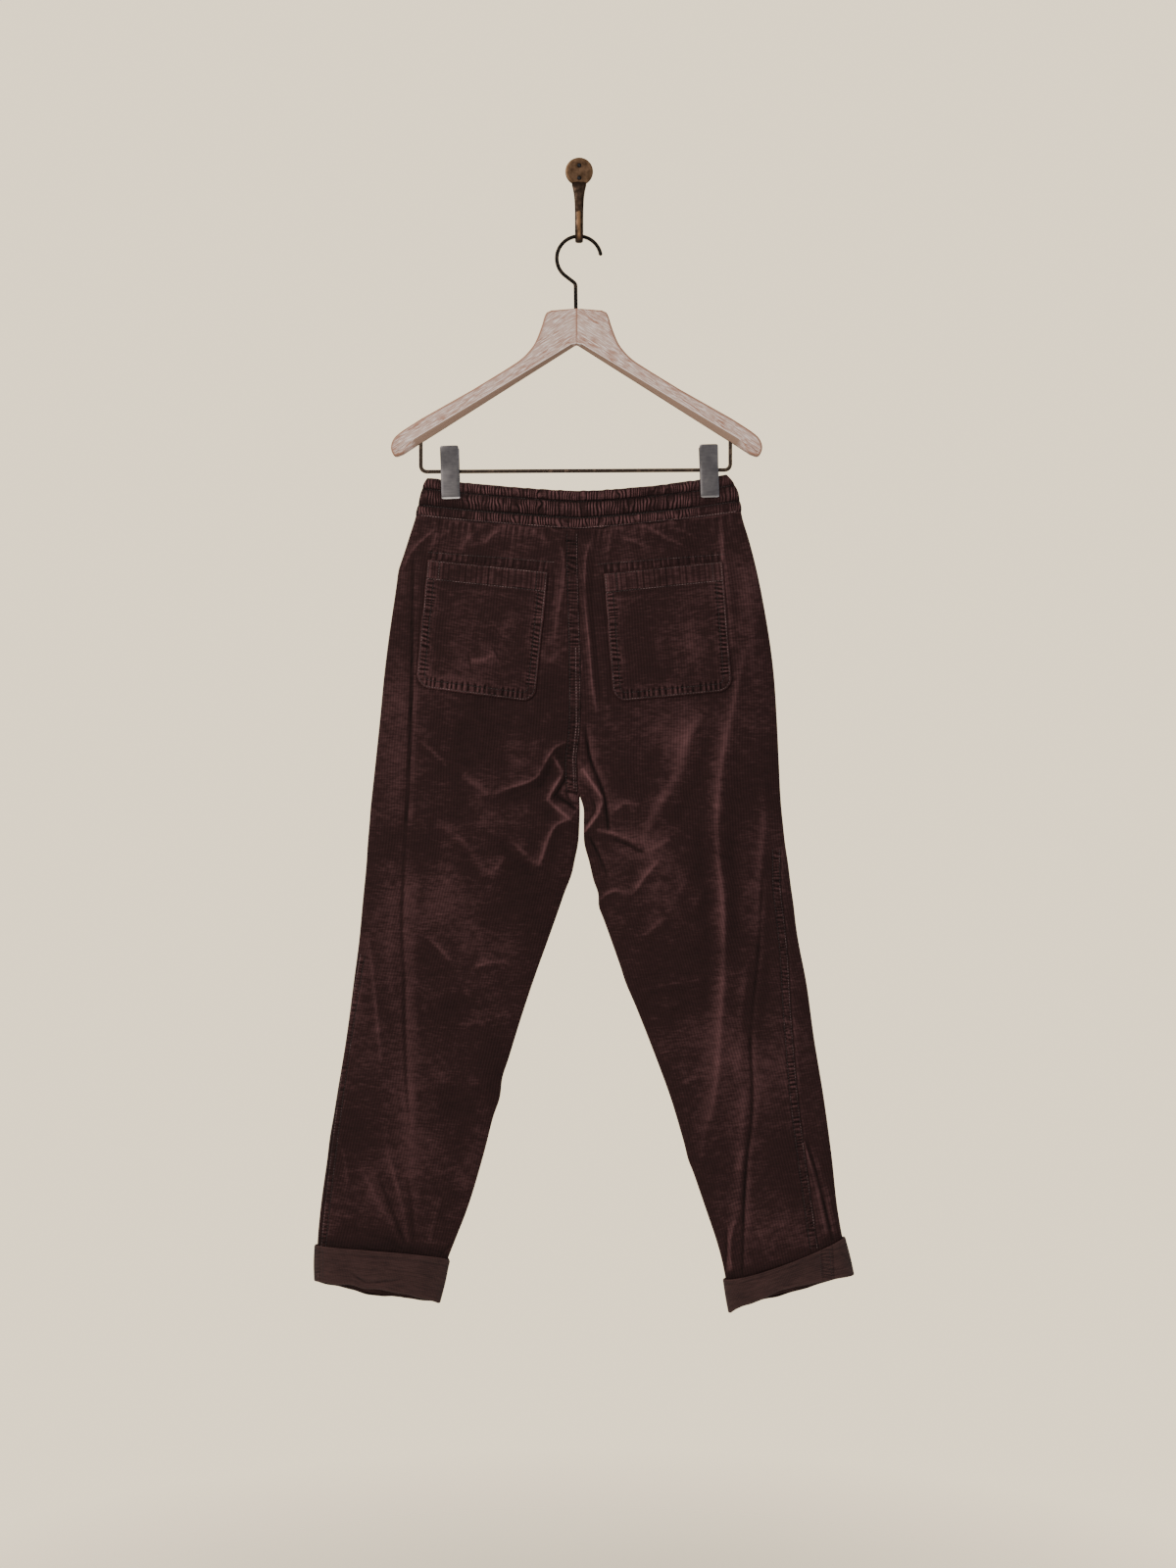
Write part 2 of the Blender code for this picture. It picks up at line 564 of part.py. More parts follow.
def clip(name, across, cloth_front, cloth_back):
    """A spring clip on the bar: two plates that close on the waistband, and a sleeve between."""
    share = (across - BAR_LEFT) / (BAR_RIGHT - BAR_LEFT)
    bar_below = BAR_BELOW_LEFT + (BAR_BELOW_RIGHT - BAR_BELOW_LEFT) * share
    jaw = max(cloth_front, cloth_back) + GAP
    heights = (bar_below + CLIP_DOWN, bar_below, bar_below - CLIP_UP)
    for way, word in ((-1, "front"), (1, "back")):
        rings = []
        for below, open_by in zip(heights, (0.0, 0.0, CLIP_OPEN)):
            near, far = jaw + open_by, jaw + open_by + CLIP_PLATE
            left, right = (across - CLIP_WIDE / 2) * MM, (across + CLIP_WIDE / 2) * MM
            ring = [(left, near), (right, near), (right, far), (left, far)]
            rings.append([(x, (HANG + way * out) * MM, -below * MM) for x, out in ring])
        loft(f"{name}_{word}", rings, "gunmetal", 30)
    tube(f"{name}_sleeve", across, bar_below, WIRE / 2 + GAP, jaw - GAP)


def tube(name, across, below, inner, outer, sides=16):
    """A spring sleeve round the bar."""
    mesh = bmesh.new()
    loops = []
    for x, radius in ((-1, outer), (1, outer), (1, inner), (-1, inner)):
        loops.append([])
        for k in range(sides):
            a = 2 * math.pi * k / sides
            y, z = HANG + radius * math.cos(a), -below + radius * math.sin(a)
            loops[-1].append(mesh.verts.new(((across + x * SLEEVE_LONG / 2) * MM, y * MM, z * MM)))
    for first, second in zip(loops, loops[1:] + loops[:1]):
        for k in range(sides):
            n = (k + 1) % sides
            mesh.faces.new([first[k], first[n], second[n], second[k]])
    return add_object(name, mesh, "gunmetal", 40)


# ---------------------------------------------------------------- wall hook
def arm_ring(cut):
    """A rounded cut across the hook's arm."""
    lean = math.radians(cut.turn)
    ring = []
    for k in range(RING):
        a = 2 * math.pi * (k + 0.5) / RING
        wide = cut.wide / 2 * math.copysign(abs(math.cos(a)) ** RING_SQUARE, math.cos(a))
        thick = cut.thick / 2 * math.copysign(abs(math.sin(a)) ** RING_SQUARE, math.sin(a))
        out, below = cut.out + thick * math.cos(lean), cut.below - thick * math.sin(lean)
        ring.append((wide * MM, -out * MM, -below * MM))
    return ring


def wall_hook():
    """The round plate and the tapering arm that turns up into a J, cast in one."""
    cuts = list(ARM)
    for k in range(J_CUTS):
        turn = 180.0 * k / (J_CUTS - 1)
        a = math.radians(turn)
        wide = J_WIDE + (TIP_WIDE - J_WIDE) * k / (J_CUTS - 1)
        thick = J_THICK + (TIP_THICK - J_THICK) * max(0.0, turn - 90) / 180
        radius = THROAT + thick / 2
        out = -HANG - radius * math.cos(a)
        cuts.append(Cut(out, THROAT_BELOW + radius * math.sin(a), wide, thick, turn))
    tip = cuts[-1]._replace(thick=TIP_THICK, below=(cuts[-1].below + TIP_BELOW) / 2)
    cuts.append(tip)
    for short, share in TIP_ROUND:
        cuts.append(Cut(tip.out, TIP_BELOW + short, TIP_WIDE * share, TIP_THICK * share, 180))
    arm = loft("wall_hook_arm", [arm_ring(c) for c in cuts], "aged_brass", 50)
    mesh = bmesh.new()
    radius, depth = PLATE_RADIUS * MM, PLATE_THICK * MM
    bmesh.ops.create_cone(mesh, cap_ends=True, segments=40, radius1=radius, radius2=radius, depth=depth)
    rim = [e for e in mesh.edges if all(v.co.z > 0 for v in e.verts)]
    bmesh.ops.bevel(mesh, geom=rim, offset=PLATE_EDGE * MM, segments=2, affect="EDGES", profile=0.5)
    for v in mesh.verts:
        v.co = (v.co.x, -(v.co.z + PLATE_THICK / 2 * MM), v.co.y)
    plate = add_object("wall_hook", mesh, "aged_brass", 40)
    join = plate.modifiers.new("arm", "BOOLEAN")
    join.operation = "UNION"
    join.object = arm
    arm.hide_render = True
    arm.display_type = "WIRE"
    return plate


def screw_head(name, below):
    """A low dome, just clear of the plate."""
    mesh = bmesh.new()
    bmesh.ops.create_uvsphere(mesh, u_segments=16, v_segments=8, radius=1.0)
    half = [v for v in mesh.verts if v.co.z < -1e-4]
    bmesh.ops.delete(mesh, geom=half, context="VERTS")
    bmesh.ops.contextual_create(mesh, geom=[e for e in mesh.edges if e.is_boundary])
    for v in mesh.verts:
        x, y, z = v.co
        out = PLATE_THICK + GAP + z * SCREW_HEIGHT
        v.co = (x * SCREW_RADIUS * MM, -out * MM, (y * SCREW_RADIUS - below) * MM)
    return add_object(name, mesh, "aged_brass", 40)


def furthest(made, across, below_to, way):
    """How far an object reaches from the hanger's plane within a clip's place."""
    reach = 0.0
    for v in made.data.vertices:
        x, y, z = v.co / MM
        if abs(x - across) < CLIP_WIDE / 2 + CLIP_MARGIN and -z < below_to:
            reach = max(reach, way * (HANG - y))
    return reach


def build():
    """Every piece, from the cloth to the wall."""
    for old in list(bpy.data.objects):
        bpy.data.objects.remove(old, do_unlink=True)
    backs = {}
    for side in ("left", "right"):
        backs["back_" + side] = leg_panel(side, 1)
        leg_panel(side, -1)
        turn_up(side, 1)
        turn_up(side, -1)
    band_back, band_front = waistband(1), waistband(-1)
    for name, pocket in POCKETS.items():
        patch_pocket(name, pocket, surface_of(backs[pocket.panel]))
    for word, toward in (("left", -1), ("right", 1)):
        wood_half("hanger_wood_" + word, toward)
    bar_wire()
    hook_wire()
    for name, across in CLIPS.items():
        down = BAR_BELOW_LEFT + CLIP_DOWN + CLIP_MARGIN
        clip(name, across, furthest(band_back, across, down, 1), furthest(band_front, across, down, -1))
    wall_hook()
    for name, below in SCREWS.items():
        screw_head(name, below)


build()
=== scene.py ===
"""The look of cord joggers that hang by the waistband from a clip hanger on a wall hook.

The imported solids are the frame. Every cloth panel is built again here as a thin shell on the same
form, from the same tables, with its creases, puckers and stitches. Tables are in millimetres:
"across" is to the right of the wall plate's centre, "below" is down from it, and what comes out
of the wall towards the room is -Y.
"""
import logging
import math
from dataclasses import dataclass, field
from enum import Enum
from functools import partial
from typing import Callable, NamedTuple

import bmesh
import bpy
import numpy as np
from bpy.types import Material, Node, NodeSocket, NodeTree, Object
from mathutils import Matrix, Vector
from mathutils.bvhtree import BVHTree


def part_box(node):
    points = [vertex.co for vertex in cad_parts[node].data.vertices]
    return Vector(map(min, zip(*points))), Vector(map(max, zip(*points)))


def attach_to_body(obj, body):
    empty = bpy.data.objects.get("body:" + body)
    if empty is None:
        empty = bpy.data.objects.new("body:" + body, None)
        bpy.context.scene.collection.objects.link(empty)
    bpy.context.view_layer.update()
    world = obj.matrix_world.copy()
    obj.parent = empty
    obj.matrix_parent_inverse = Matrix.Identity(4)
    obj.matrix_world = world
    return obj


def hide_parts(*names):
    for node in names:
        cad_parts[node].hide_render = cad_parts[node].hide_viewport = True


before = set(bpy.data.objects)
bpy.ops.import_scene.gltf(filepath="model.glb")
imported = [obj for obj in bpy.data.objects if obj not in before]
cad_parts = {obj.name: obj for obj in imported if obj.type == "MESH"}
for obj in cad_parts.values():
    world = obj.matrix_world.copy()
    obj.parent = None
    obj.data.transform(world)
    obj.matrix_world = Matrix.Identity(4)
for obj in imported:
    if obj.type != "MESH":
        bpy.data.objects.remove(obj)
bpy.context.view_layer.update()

LOG = logging.getLogger("joggers")
MM = 0.001
Point = tuple[float, float]
Array = np.ndarray
Outputs = bpy.types.bpy_prop_collection
SCATTER = 1274126177  # an odd number that mixes the bits of the noise

# ---------------------------------------------------------------- the form, as in the solids
GAP = 0.3
HANG = -24.0
ROUNDNESS = 6.0
CROTCH_BELOW = 751.0
CROTCH_ROUND = 110.0
CLIP_PINCH, PINCH_SPREAD, PINCH_ENDS = 10.5, 62.0, (400.0, 560.0)
CLIP_PLACES = {"left": -153.8, "right": 155.1}
CLOTH = 1.4  # the shell's thickness
DOME = 0.6  # how far a wire's domed end stands out, in radii
SEAM_STEPS = 6  # points from one given point of a seam to the next
CUT_APART = 1.7  # how far apart on the cloth, in metres, the panels are cut
PAINTED_CREASE_LINE = 1.3  # half the width of the painted line along a sharp fold: sheen on a crest, shade in a trough
SEAM_OVERLAP = 1.1  # how far the left of the picture laps over the right along the centre seam


class Side(Enum):
    """Which leg, as seen in the picture."""

    LEFT = "left"
    RIGHT = "right"


class Face(Enum):
    """Which face of the trousers: their back is to the room, their front to the wall."""

    BACK = 1
    FRONT = -1

    @property
    def word(self) -> str:
        """How the nodes name it."""
        return self.name.lower()


class Section(NamedTuple):
    """The legs' outline, half depth and middle plane at one height."""

    below: float
    left_out: float
    left_in: float
    right_in: float
    right_out: float
    depth: float
    middle: float


SECTIONS = [
    Section(365, -177, -3, -3, 173, 14, -24),
    Section(380, -185, -3, -3, 185, 14, -24),
    Section(400, -190.5, -2, -2, 191.5, 14, -24),
    Section(418, -195, -1.5, -1.5, 194.5, 14, -24),
    Section(445, -203.5, -1, -1, 202.5, 14, -24),
    Section(480, -214, 0, 0, 211.5, 14, -24),
    Section(527, -222, 1, 1, 221, 14, -24),
    Section(597, -231.5, 3, 3, 231.5, 14.5, -24),
    Section(667, -238.5, 2.5, 2.5, 236.5, 14.5, -23.5),
    Section(710, -243, -1.5, -1.5, 238.5, 14.5, -23.5),
    Section(751, -247.5, 0.5, 0.5, 240.5, 14.5, -23),
    Section(765, -249, 1, 4.8, 241.5, 14.5, -23),
    Section(785, -250.5, 0.5, 5.3, 243.5, 14.5, -23),
    Section(808, -252.5, -1, 6, 246, 14, -23),
    Section(831, -254, -6, 12, 249.5, 14, -22.5),
    Section(878, -258.5, -21, 22.5, 255, 14, -22),
    Section(925, -263, -37.5, 38.5, 262, 13.5, -21.5),
    Section(971, -269, -54, 55, 271, 13.5, -21),
    Section(1042, -278.5, -77, 83, 281, 13, -20.5),
    Section(1112, -290, -97, 109, 292.5, 12.5, -20),
    Section(1182, -300.5, -114.5, 130, 302, 12.5, -20),
    Section(1252, -310, -136, 153.5, 310, 12, -20),
    Section(1280, -312.5, -147, 163, 315, 12, -20),
    Section(1309, -313.5, -158, 171, 322, 12, -20),
    Section(1335, -313.5, -164, 176, 328, 12, -20),
    Section(1375, -313.5, -173.5, 182.5, 335, 12, -20),
]


class Level(NamedTuple):
    """A level line: its height at each outseam and at the centre, and how it bows between."""

    left_out: float
    left_in: float
    left_bow: float
    right_out: float
    right_in: float
    right_bow: float

    def row(self, side: Side) -> Array:
        """One leg's heights and bow, as (out, in, bow)."""
        return np.array([getattr(self, f"{side.value}_{part}") for part in ("out", "in", "bow")])


WAIST_TOP = Level(372.0, 389.0, 1.45, 368.0, 389.0, 1.7)
WAIST_SEAM = Level(417.5, 434.5, 1.25, 412.5, 434.5, 1.25)
CROTCH = Level(751.0, 751.0, 1.0, 751.0, 751.0, 1.0)
TUCKED = WAIST_SEAM._replace(left_out=414.0, left_in=431.0, right_out=409.0, right_in=431.0)
CUFF_TOP = Level(1288.0, 1307.0, 0.5, 1278.5, 1329.0, 1.35)
HEM = Level(1330.0, 1356.2, 0.7, 1323.0, 1367.8, 0.7)


class Crease(NamedTuple):
    """A ridge (height over 0) or a trough along a line, with a width to each side of it."""

    height: float
    left: float
    right: float
    crest: float  # 1 is a sharp crest, 2 a soft one
    line: list[Point]


# the rows of each panel: a Crease's height, its widths to the left and right, its crest and its line
CREASE_ROWS: dict[str, list[tuple]] = {
    "back_left": [
        # the long crease beside the outseam, with a soft ridge along its outer side
        (-3.6, 2.2, 3.4, 1.3, [(-198, 470), (-198.5, 551), (-199, 621), (-201, 679), (-203, 737),
                               (-206, 784)]),
        (-2.0, 2.4, 3.4, 1.3, [(-205, 770), (-209.5, 854), (-211, 912), (-208.5, 970), (-208, 1028),
                               (-206, 1087), (-202, 1145)]),
        (1.7, 12, 8, 2.0, [(-208, 480), (-209, 560), (-210, 650), (-212, 740), (-216, 800)]),
        (1.8, 12, 10, 2.0, [(-196, 800), (-198, 900), (-197, 1000), (-195, 1090)]),
        (1.4, 9, 9, 2.0, [(-222, 830), (-224, 930), (-220, 1010)]),
        # from the waistband to the side, and beside the pocket
        (2.4, 4, 5, 1.2, [(-172, 434), (-181, 442), (-193, 453), (-203, 466), (-211, 484)]),
        (1.6, 4, 4, 1.3, [(-168, 438), (-176, 455)]),
        (1.8, 5, 5, 1.3, [(-92, 434), (-103, 441), (-113, 452)]),
        (1.2, 6, 5, 1.5, [(-96, 447), (-112, 450), (-132, 454)]),
        (1.5, 5, 6, 1.4, [(-154, 434), (-168, 447), (-181, 464)]),
        (1.4, 5, 6, 1.4, [(-122, 436), (-134, 447), (-141, 460)]),
        (1.4, 4, 5, 1.4, [(-56, 436), (-43, 445), (-34, 456)]),
        (2.2, 4, 6, 1.2, [(-27, 444), (-20, 461), (-18, 480), (-20, 505), (-26, 540), (-29, 566)]),
        (-1.4, 5, 4, 1.4, [(-34, 470), (-30, 500), (-36, 540)]),
        (1.5, 7, 7, 1.6, [(-39, 566), (-20, 573)]),
        (1.6, 8, 7, 1.6, [(-42, 598), (-30, 588), (-14, 575)]),
        (1.3, 9, 9, 1.8, [(-46, 668), (-32, 657), (-12, 644)]),
        # under the pocket
        (1.6, 10, 9, 1.8, [(-112, 688), (-80, 692), (-44, 700)]),
        (1.4, 8, 9, 1.8, [(-92, 702), (-68, 712), (-45, 712)]),
        (1.3, 3, 4, 1.1, [(-187, 688), (-170, 702), (-155, 718)]),
        (-1.2, 14, 14, 2.0, [(-150, 672), (-105, 678), (-60, 674)]),
        # the sharp fold that runs into the crotch
        (3.4, 5.0, 3.6, 0.95, [(-4, 686), (-18, 689), (-29, 695), (-37, 706), (-44, 719), (-54, 732),
                               (-82, 742), (-106, 750)]),
        (2.2, 6, 5.0, 1.5, [(-106, 750), (-121, 739), (-138, 726)]),
        (-2.6, 9, 7, 1.5, [(-14, 702), (-31, 711), (-42, 735), (-60, 749), (-96, 762)]),
        # the flap beside the crotch
        (3.4, 4, 3, 1.0, [(-31, 704), (-19, 724)]),
        (4.0, 3.4, 4, 1.0, [(-19, 724), (-37.5, 756)]),
        (4.0, 3.4, 4, 1.0, [(-37.5, 756), (-9, 781)]),
        (-4.5, 2.6, 3, 1.1, [(-14, 729), (-31, 755)]),
        (-9.0, 7, 7, 1.4, [(-27, 752), (-16, 758), (-3, 768)]),
        (-4.0, 3, 3, 1.1, [(-18, 746), (-2, 749)]),
        # the folds of the thigh
        (2.4, 7, 7, 1.5, [(-172, 787), (-154, 792), (-136, 808), (-122, 828), (-109, 847)]),
        (1.9, 6, 6, 1.5, [(-109, 847), (-98, 838), (-88, 824)]),
        (2.6, 8, 6, 1.4, [(-84, 800), (-64, 820), (-48, 835)]),
        (3.6, 6, 5, 1.2, [(-48, 835), (-42, 818), (-37, 803), (-28, 787), (-12, 779)]),
        (-2.4, 9, 9, 1.6, [(-150, 812), (-130, 830), (-112, 862)]),
        (-2.4, 8, 8, 1.6, [(-94, 806), (-72, 832), (-52, 850)]),
        (1.4, 8, 8, 1.6, [(-116, 772), (-86, 784), (-66, 772)]),
        (-2.0, 16, 12, 1.8, [(-150, 760), (-118, 776), (-80, 768)]),
        # the knee
        (2.0, 5, 6, 1.2, [(-182, 918), (-168, 930), (-152, 948)]),
        (1.9, 5, 5, 1.2, [(-124, 955), (-106, 950), (-82, 949)]),
        (1.6, 8, 7, 1.5, [(-178, 990), (-136, 983), (-92, 990)]),
        (-2.2, 10, 9, 1.6, [(-180, 1002), (-158, 1005), (-130, 1001)]),
        (1.6, 6, 6, 1.4, [(-142, 1024), (-112, 1020), (-80, 1005)]),
        (1.2, 9, 8, 1.6, [(-150, 1046), (-128, 1052), (-104, 1050)]),
        (1.6, 4, 5, 1.2, [(-251, 922), (-245, 970), (-240, 1022), (-236, 1069)]),
        (1.3, 7, 7, 1.5, [(-166, 1092), (-144, 1088), (-118, 1096)]),
        (-1.6, 10, 9, 1.7, [(-168, 1124), (-146, 1122), (-122, 1128)]),
        (1.4, 8, 8, 1.5, [(-120, 1100), (-108, 1090), (-98, 1082)]),
        # above the turn-up
        (2.2, 11, 11, 2.0, [(-200, 1080), (-200, 1130), (-197, 1191), (-191, 1244), (-187, 1277)]),
        (-1.8, 4, 5, 1.3, [(-205, 1205), (-199, 1248), (-197, 1284)]),
        (1.7, 5, 5, 1.45, [(-231, 1162), (-220, 1203), (-208, 1250), (-203, 1286)]),
        (1.7, 6, 6, 1.5, [(-262, 1188), (-244, 1224), (-224, 1261), (-212, 1287)]),
        (-2.6, 2.4, 3, 1.2, [(-238, 1206), (-222, 1246), (-207, 1286)]),
        (1.4, 4, 5, 1.4, [(-288, 1158), (-279, 1184), (-276, 1220)]),
        (-2.4, 8, 8, 1.6, [(-290, 1276), (-262, 1270), (-232, 1278), (-210, 1290)]),
        (-1.8, 9, 8, 1.6, [(-246, 1200), (-262, 1240), (-268, 1270)]),
        (1.6, 6, 6, 1.4, [(-165, 1230), (-172, 1258), (-178, 1285)]),
        (-2.6, 3, 4, 1.2, [(-148, 1282), (-157, 1291), (-166, 1300)]),
    ],
    "back_right": [
        # beside the centre seam, and from the waistband
        (2.8, 4, 6, 1.1, [(13, 450), (8, 470), (7, 505), (9, 540), (12, 572), (15, 612), (21, 654)]),
        (-1.6, 5, 4, 1.4, [(18, 470), (15, 520), (20, 580), (26, 640)]),
        (1.2, 5, 5, 1.5, [(28, 604), (31, 630), (36, 662)]),
        (1.9, 3.5, 4, 1.1, [(76, 428), (90, 436), (104, 444), (124, 454)]),
        (1.5, 4, 4, 1.2, [(52, 445), (70, 451), (90, 459)]),
        (1.3, 4, 4, 1.3, [(36, 440), (34, 472)]),
        (1.2, 4, 4, 1.3, [(110, 430), (128, 438), (142, 446)]),
        (2.2, 4, 5, 1.1, [(172, 436), (171, 456), (173, 495), (176, 534), (181, 577)]),
        (1.3, 8, 8, 1.7, [(196, 470), (203, 520), (208, 570), (212, 630)]),
        # the long folds of the leg
        (3.6, 6, 8, 1.5, [(197, 582), (189, 617), (183, 647), (175, 681), (169, 716), (165, 755),
                          (164, 790), (166, 830), (171, 877), (172, 924)]),
        (3.5, 7, 8, 1.6, [(170, 860), (172, 924), (171, 970), (168, 1023), (165, 1075), (160, 1116),
                          (150, 1154), (146, 1186)]),
        (-2.2, 12, 10, 1.7, [(186, 700), (182, 780), (184, 860), (186, 950)]),
        (-2.0, 12, 10, 1.7, [(150, 720), (142, 790), (148, 860), (152, 940), (148, 1030)]),
        (3.6, 9, 9, 2.0, [(146, 652), (130, 681), (122, 708), (113, 734), (98, 758), (85, 782), (74, 809)]),
        (-2.8, 12, 10, 1.7, [(158, 668), (146, 712), (130, 752), (110, 786)]),
        (-1.8, 14, 12, 1.8, [(100, 676), (86, 712), (66, 742)]),
        (2.2, 7, 7, 1.8, [(221, 730), (220, 787), (215, 848), (215, 900), (212, 930)]),
        (-2.0, 2.4, 3, 1.2, [(218, 850), (215, 910), (212, 953), (207, 1000), (203.5, 1046), (204.5, 1080)]),
        (2.0, 9, 7, 1.9, [(200, 950), (193, 1010), (190, 1090)]),
        (-1.8, 10, 8, 1.7, [(228, 820), (226, 900), (222, 980), (214, 1050)]),
        (-3.6, 2.4, 3.6, 1.2, [(203.5, 1040), (206, 1092), (205, 1139), (200, 1180), (196.5, 1240),
                               (194.7, 1322)]),
        (2.2, 8, 5, 1.9, [(197, 1100), (193, 1180), (187, 1250)]),
        # under the seat
        (-3.8, 4, 4, 1.2, [(42, 803), (61, 811), (77, 819)]),
        (2.6, 5, 6, 1.2, [(22, 792), (46, 798), (70, 808)]),
        (1.8, 5, 6, 1.5, [(79, 818), (96, 810), (110, 802)]),
        (2.0, 4, 5, 1.3, [(24, 877), (34, 868), (45, 864), (64, 868)]),
        (2.4, 5, 5, 1.2, [(64, 868), (77, 849), (95, 828)]),
        (1.8, 7, 7, 1.4, [(46, 892), (56, 904), (74, 918), (104, 895)]),
        (1.5, 8, 8, 1.6, [(133, 892), (144, 870), (153, 848)]),
        (1.5, 7, 7, 1.5, [(104, 890), (118, 868), (128, 850)]),
        # the flap beside the crotch
        (-6.0, 3, 4, 1.1, [(7, 668), (10, 690), (14, 710), (24, 735), (31, 757), (35, 792)]),
        (4.4, 3.6, 4, 1.0, [(4, 719), (29, 756)]),
        (3.8, 3.6, 4, 1.0, [(29, 756), (22, 774)]),
        (3.8, 3.6, 4, 1.0, [(22, 774), (5, 797)]),
        (-3.0, 2.4, 3, 1.1, [(14, 752), (19, 768), (8, 786)]),
        (-5.0, 3.5, 5, 1.1, [(13, 802), (22, 819), (34, 847)]),
        (2.4, 6, 6, 1.3, [(42, 770), (54, 760), (72, 764)]),
        # the knee and shin
        (1.7, 5, 5, 1.2, [(72, 985), (86, 979), (104, 976), (150, 970)]),
        (1.2, 6, 6, 1.4, [(80, 996), (104, 1000), (126, 997)]),
        (1.5, 5, 5, 1.2, [(124, 1094), (141, 1087), (158, 1087)]),
        (1.3, 6, 7, 1.5, [(98, 1060), (112, 1050), (130, 1048)]),
        # above the turn-up
        (3.6, 6, 5, 1.2, [(186, 1256), (181, 1275), (180, 1296), (182, 1322)]),
        (-3.6, 4, 3.5, 1.2, [(176, 1268), (176, 1290), (175, 1318)]),
        (-3.6, 2.4, 3, 1.2, [(270, 1160), (284, 1204), (293, 1240), (303, 1282)]),
        (2.4, 4, 4, 1.2, [(262, 1148), (276, 1190), (287, 1232), (296, 1275)]),
        (1.6, 5, 5, 1.5, [(283, 1182), (294, 1214), (302, 1246), (308, 1272)]),
        (1.5, 8, 7, 1.5, [(212, 1272), (228, 1266), (246, 1262)]),
        (-2.2, 10, 8, 1.7, [(206, 1304), (236, 1296), (268, 1284)]),
    ],
    "pocket_left": [
        (3.4, 7, 6, 1.6, [(-129, 593), (-113, 590), (-99, 583)]),
        (1.6, 9, 9, 1.9, [(-97, 556), (-81, 545), (-70, 536)]),
        (1.4, 6, 8, 1.7, [(-112, 540), (-117, 560), (-114, 584)]),
        (-1.6, 9, 9, 1.9, [(-126, 556), (-104, 562), (-92, 566)]),
        (1.2, 12, 12, 2.0, [(-150, 520), (-142, 560), (-148, 600)]),
    ],
    "pocket_right": [
        (1.0, 9, 9, 1.9, [(78, 560), (94, 570), (104, 590)]),
        (0.7, 8, 8, 1.8, [(128, 532), (136, 560), (130, 596)]),
        (-1.4, 9, 9, 1.9, [(70, 590), (92, 602), (116, 600)]),
    ],
    "cuff_left_back": [
        (-2.6, 1.8, 3, 1.1, [(-270, 1321), (-254, 1331), (-237, 1333)]),
        (-2.2, 1.8, 2.6, 1.1, [(-243, 1334), (-228, 1331), (-214, 1328)]),
        (1.6, 6, 5, 1.6, [(-258, 1308), (-232, 1314)]),
    ],
    "cuff_right_back": [
        (1.4, 7, 6, 1.7, [(206, 1340), (228, 1326), (252, 1316)]),
        (-1.6, 2, 3, 1.3, [(308, 1296), (318, 1306), (321, 1318)]),
    ],
    "front_left": [
        (3.8, 6, 6, 1.1, [(-8, 690), (-34, 708), (-60, 740), (-104, 752), (-140, 742)]),
        (2.6, 6, 6, 1.2, [(-20, 800), (-48, 830), (-84, 820), (-118, 846)]),
        (-3.6, 4, 6, 1.3, [(-190, 470), (-194, 600), (-197, 760), (-206, 900), (-204, 1080)]),
        (2.4, 9, 8, 1.6, [(-160, 460), (-150, 540), (-126, 640), (-84, 700)]),
        (1.8, 5, 5, 1.3, [(-40, 445), (-34, 500), (-40, 560)]),
        (1.8, 6, 6, 1.3, [(-180, 940), (-150, 952), (-112, 944)]),
        (1.7, 6, 6, 1.4, [(-190, 1012), (-150, 1000), (-100, 1010)]),
        (2.4, 6, 6, 1.3, [(-206, 1130), (-200, 1200), (-190, 1280)]),
        (2.0, 5, 6, 1.2, [(-262, 1180), (-240, 1232), (-216, 1286)]),
        (-2.2, 5, 5, 1.3, [(-150, 1270), (-162, 1290)]),
        (-6.0, 7, 7, 1.4, [(-24, 750), (-12, 760), (-3, 768)]),
    ],
    "front_right": [
        (3.8, 6, 6, 1.1, [(10, 692), (32, 712), (64, 742), (112, 768)]),
        (4.0, 9, 9, 1.3, [(196, 560), (178, 660), (166, 770), (172, 900), (166, 1060), (150, 1160)]),
        (2.6, 6, 7, 1.3, [(222, 740), (214, 850), (206, 990), (198, 1130)]),
        (-3.0, 4, 5, 1.2, [(206, 1110), (198, 1210), (193, 1310)]),
        (2.2, 6, 6, 1.2, [(28, 870), (60, 864), (94, 836)]),
        (1.8, 6, 6, 1.3, [(70, 980), (110, 974), (150, 972)]),
        (1.8, 4, 5, 1.2, [(40, 445), (36, 510), (46, 580)]),
        (2.2, 10, 9, 1.6, [(150, 455), (136, 540), (110, 640), (60, 704)]),
        (-2.6, 4, 4, 1.2, [(274, 1184), (290, 1230), (303, 1280)]),
        (-5.0, 5, 6, 1.2, [(8, 690), (20, 730), (34, 790)]),
    ],
}
CREASES = {panel: [Crease(*row) for row in rows] for panel, rows in CREASE_ROWS.items()}


class Notch(NamedTuple):
    """A small bump of the outline, out from the leg where the push is over 0."""

    edge: str
    below: float
    push: float
    reach: float


NOTCHES = [
    Notch("left_in", 1114, 2.4, 16),
    Notch("left_in", 1086, -1.2, 14),
    Notch("left_in", 846, 1.2, 14),
    Notch("left_out", 482, 1.0, 12),
    Notch("left_out", 1160, 0.8, 20),
    Notch("right_in", 868, -2.6, 12),
    Notch("right_in", 884, 1.2, 10),
    Notch("right_in", 976, 1.0, 16),
    Notch("right_in", 1186, 1.2, 12),
    Notch("right_out", 880, 0.8, 20),
]


class Seam(NamedTuple):
    """A felled seam: a puckered strip with a line of stitches along each side."""

    panel: str
    strip: float  # width to the left of the line, under 0 to the right
    pucker: float
    line: list[Point]


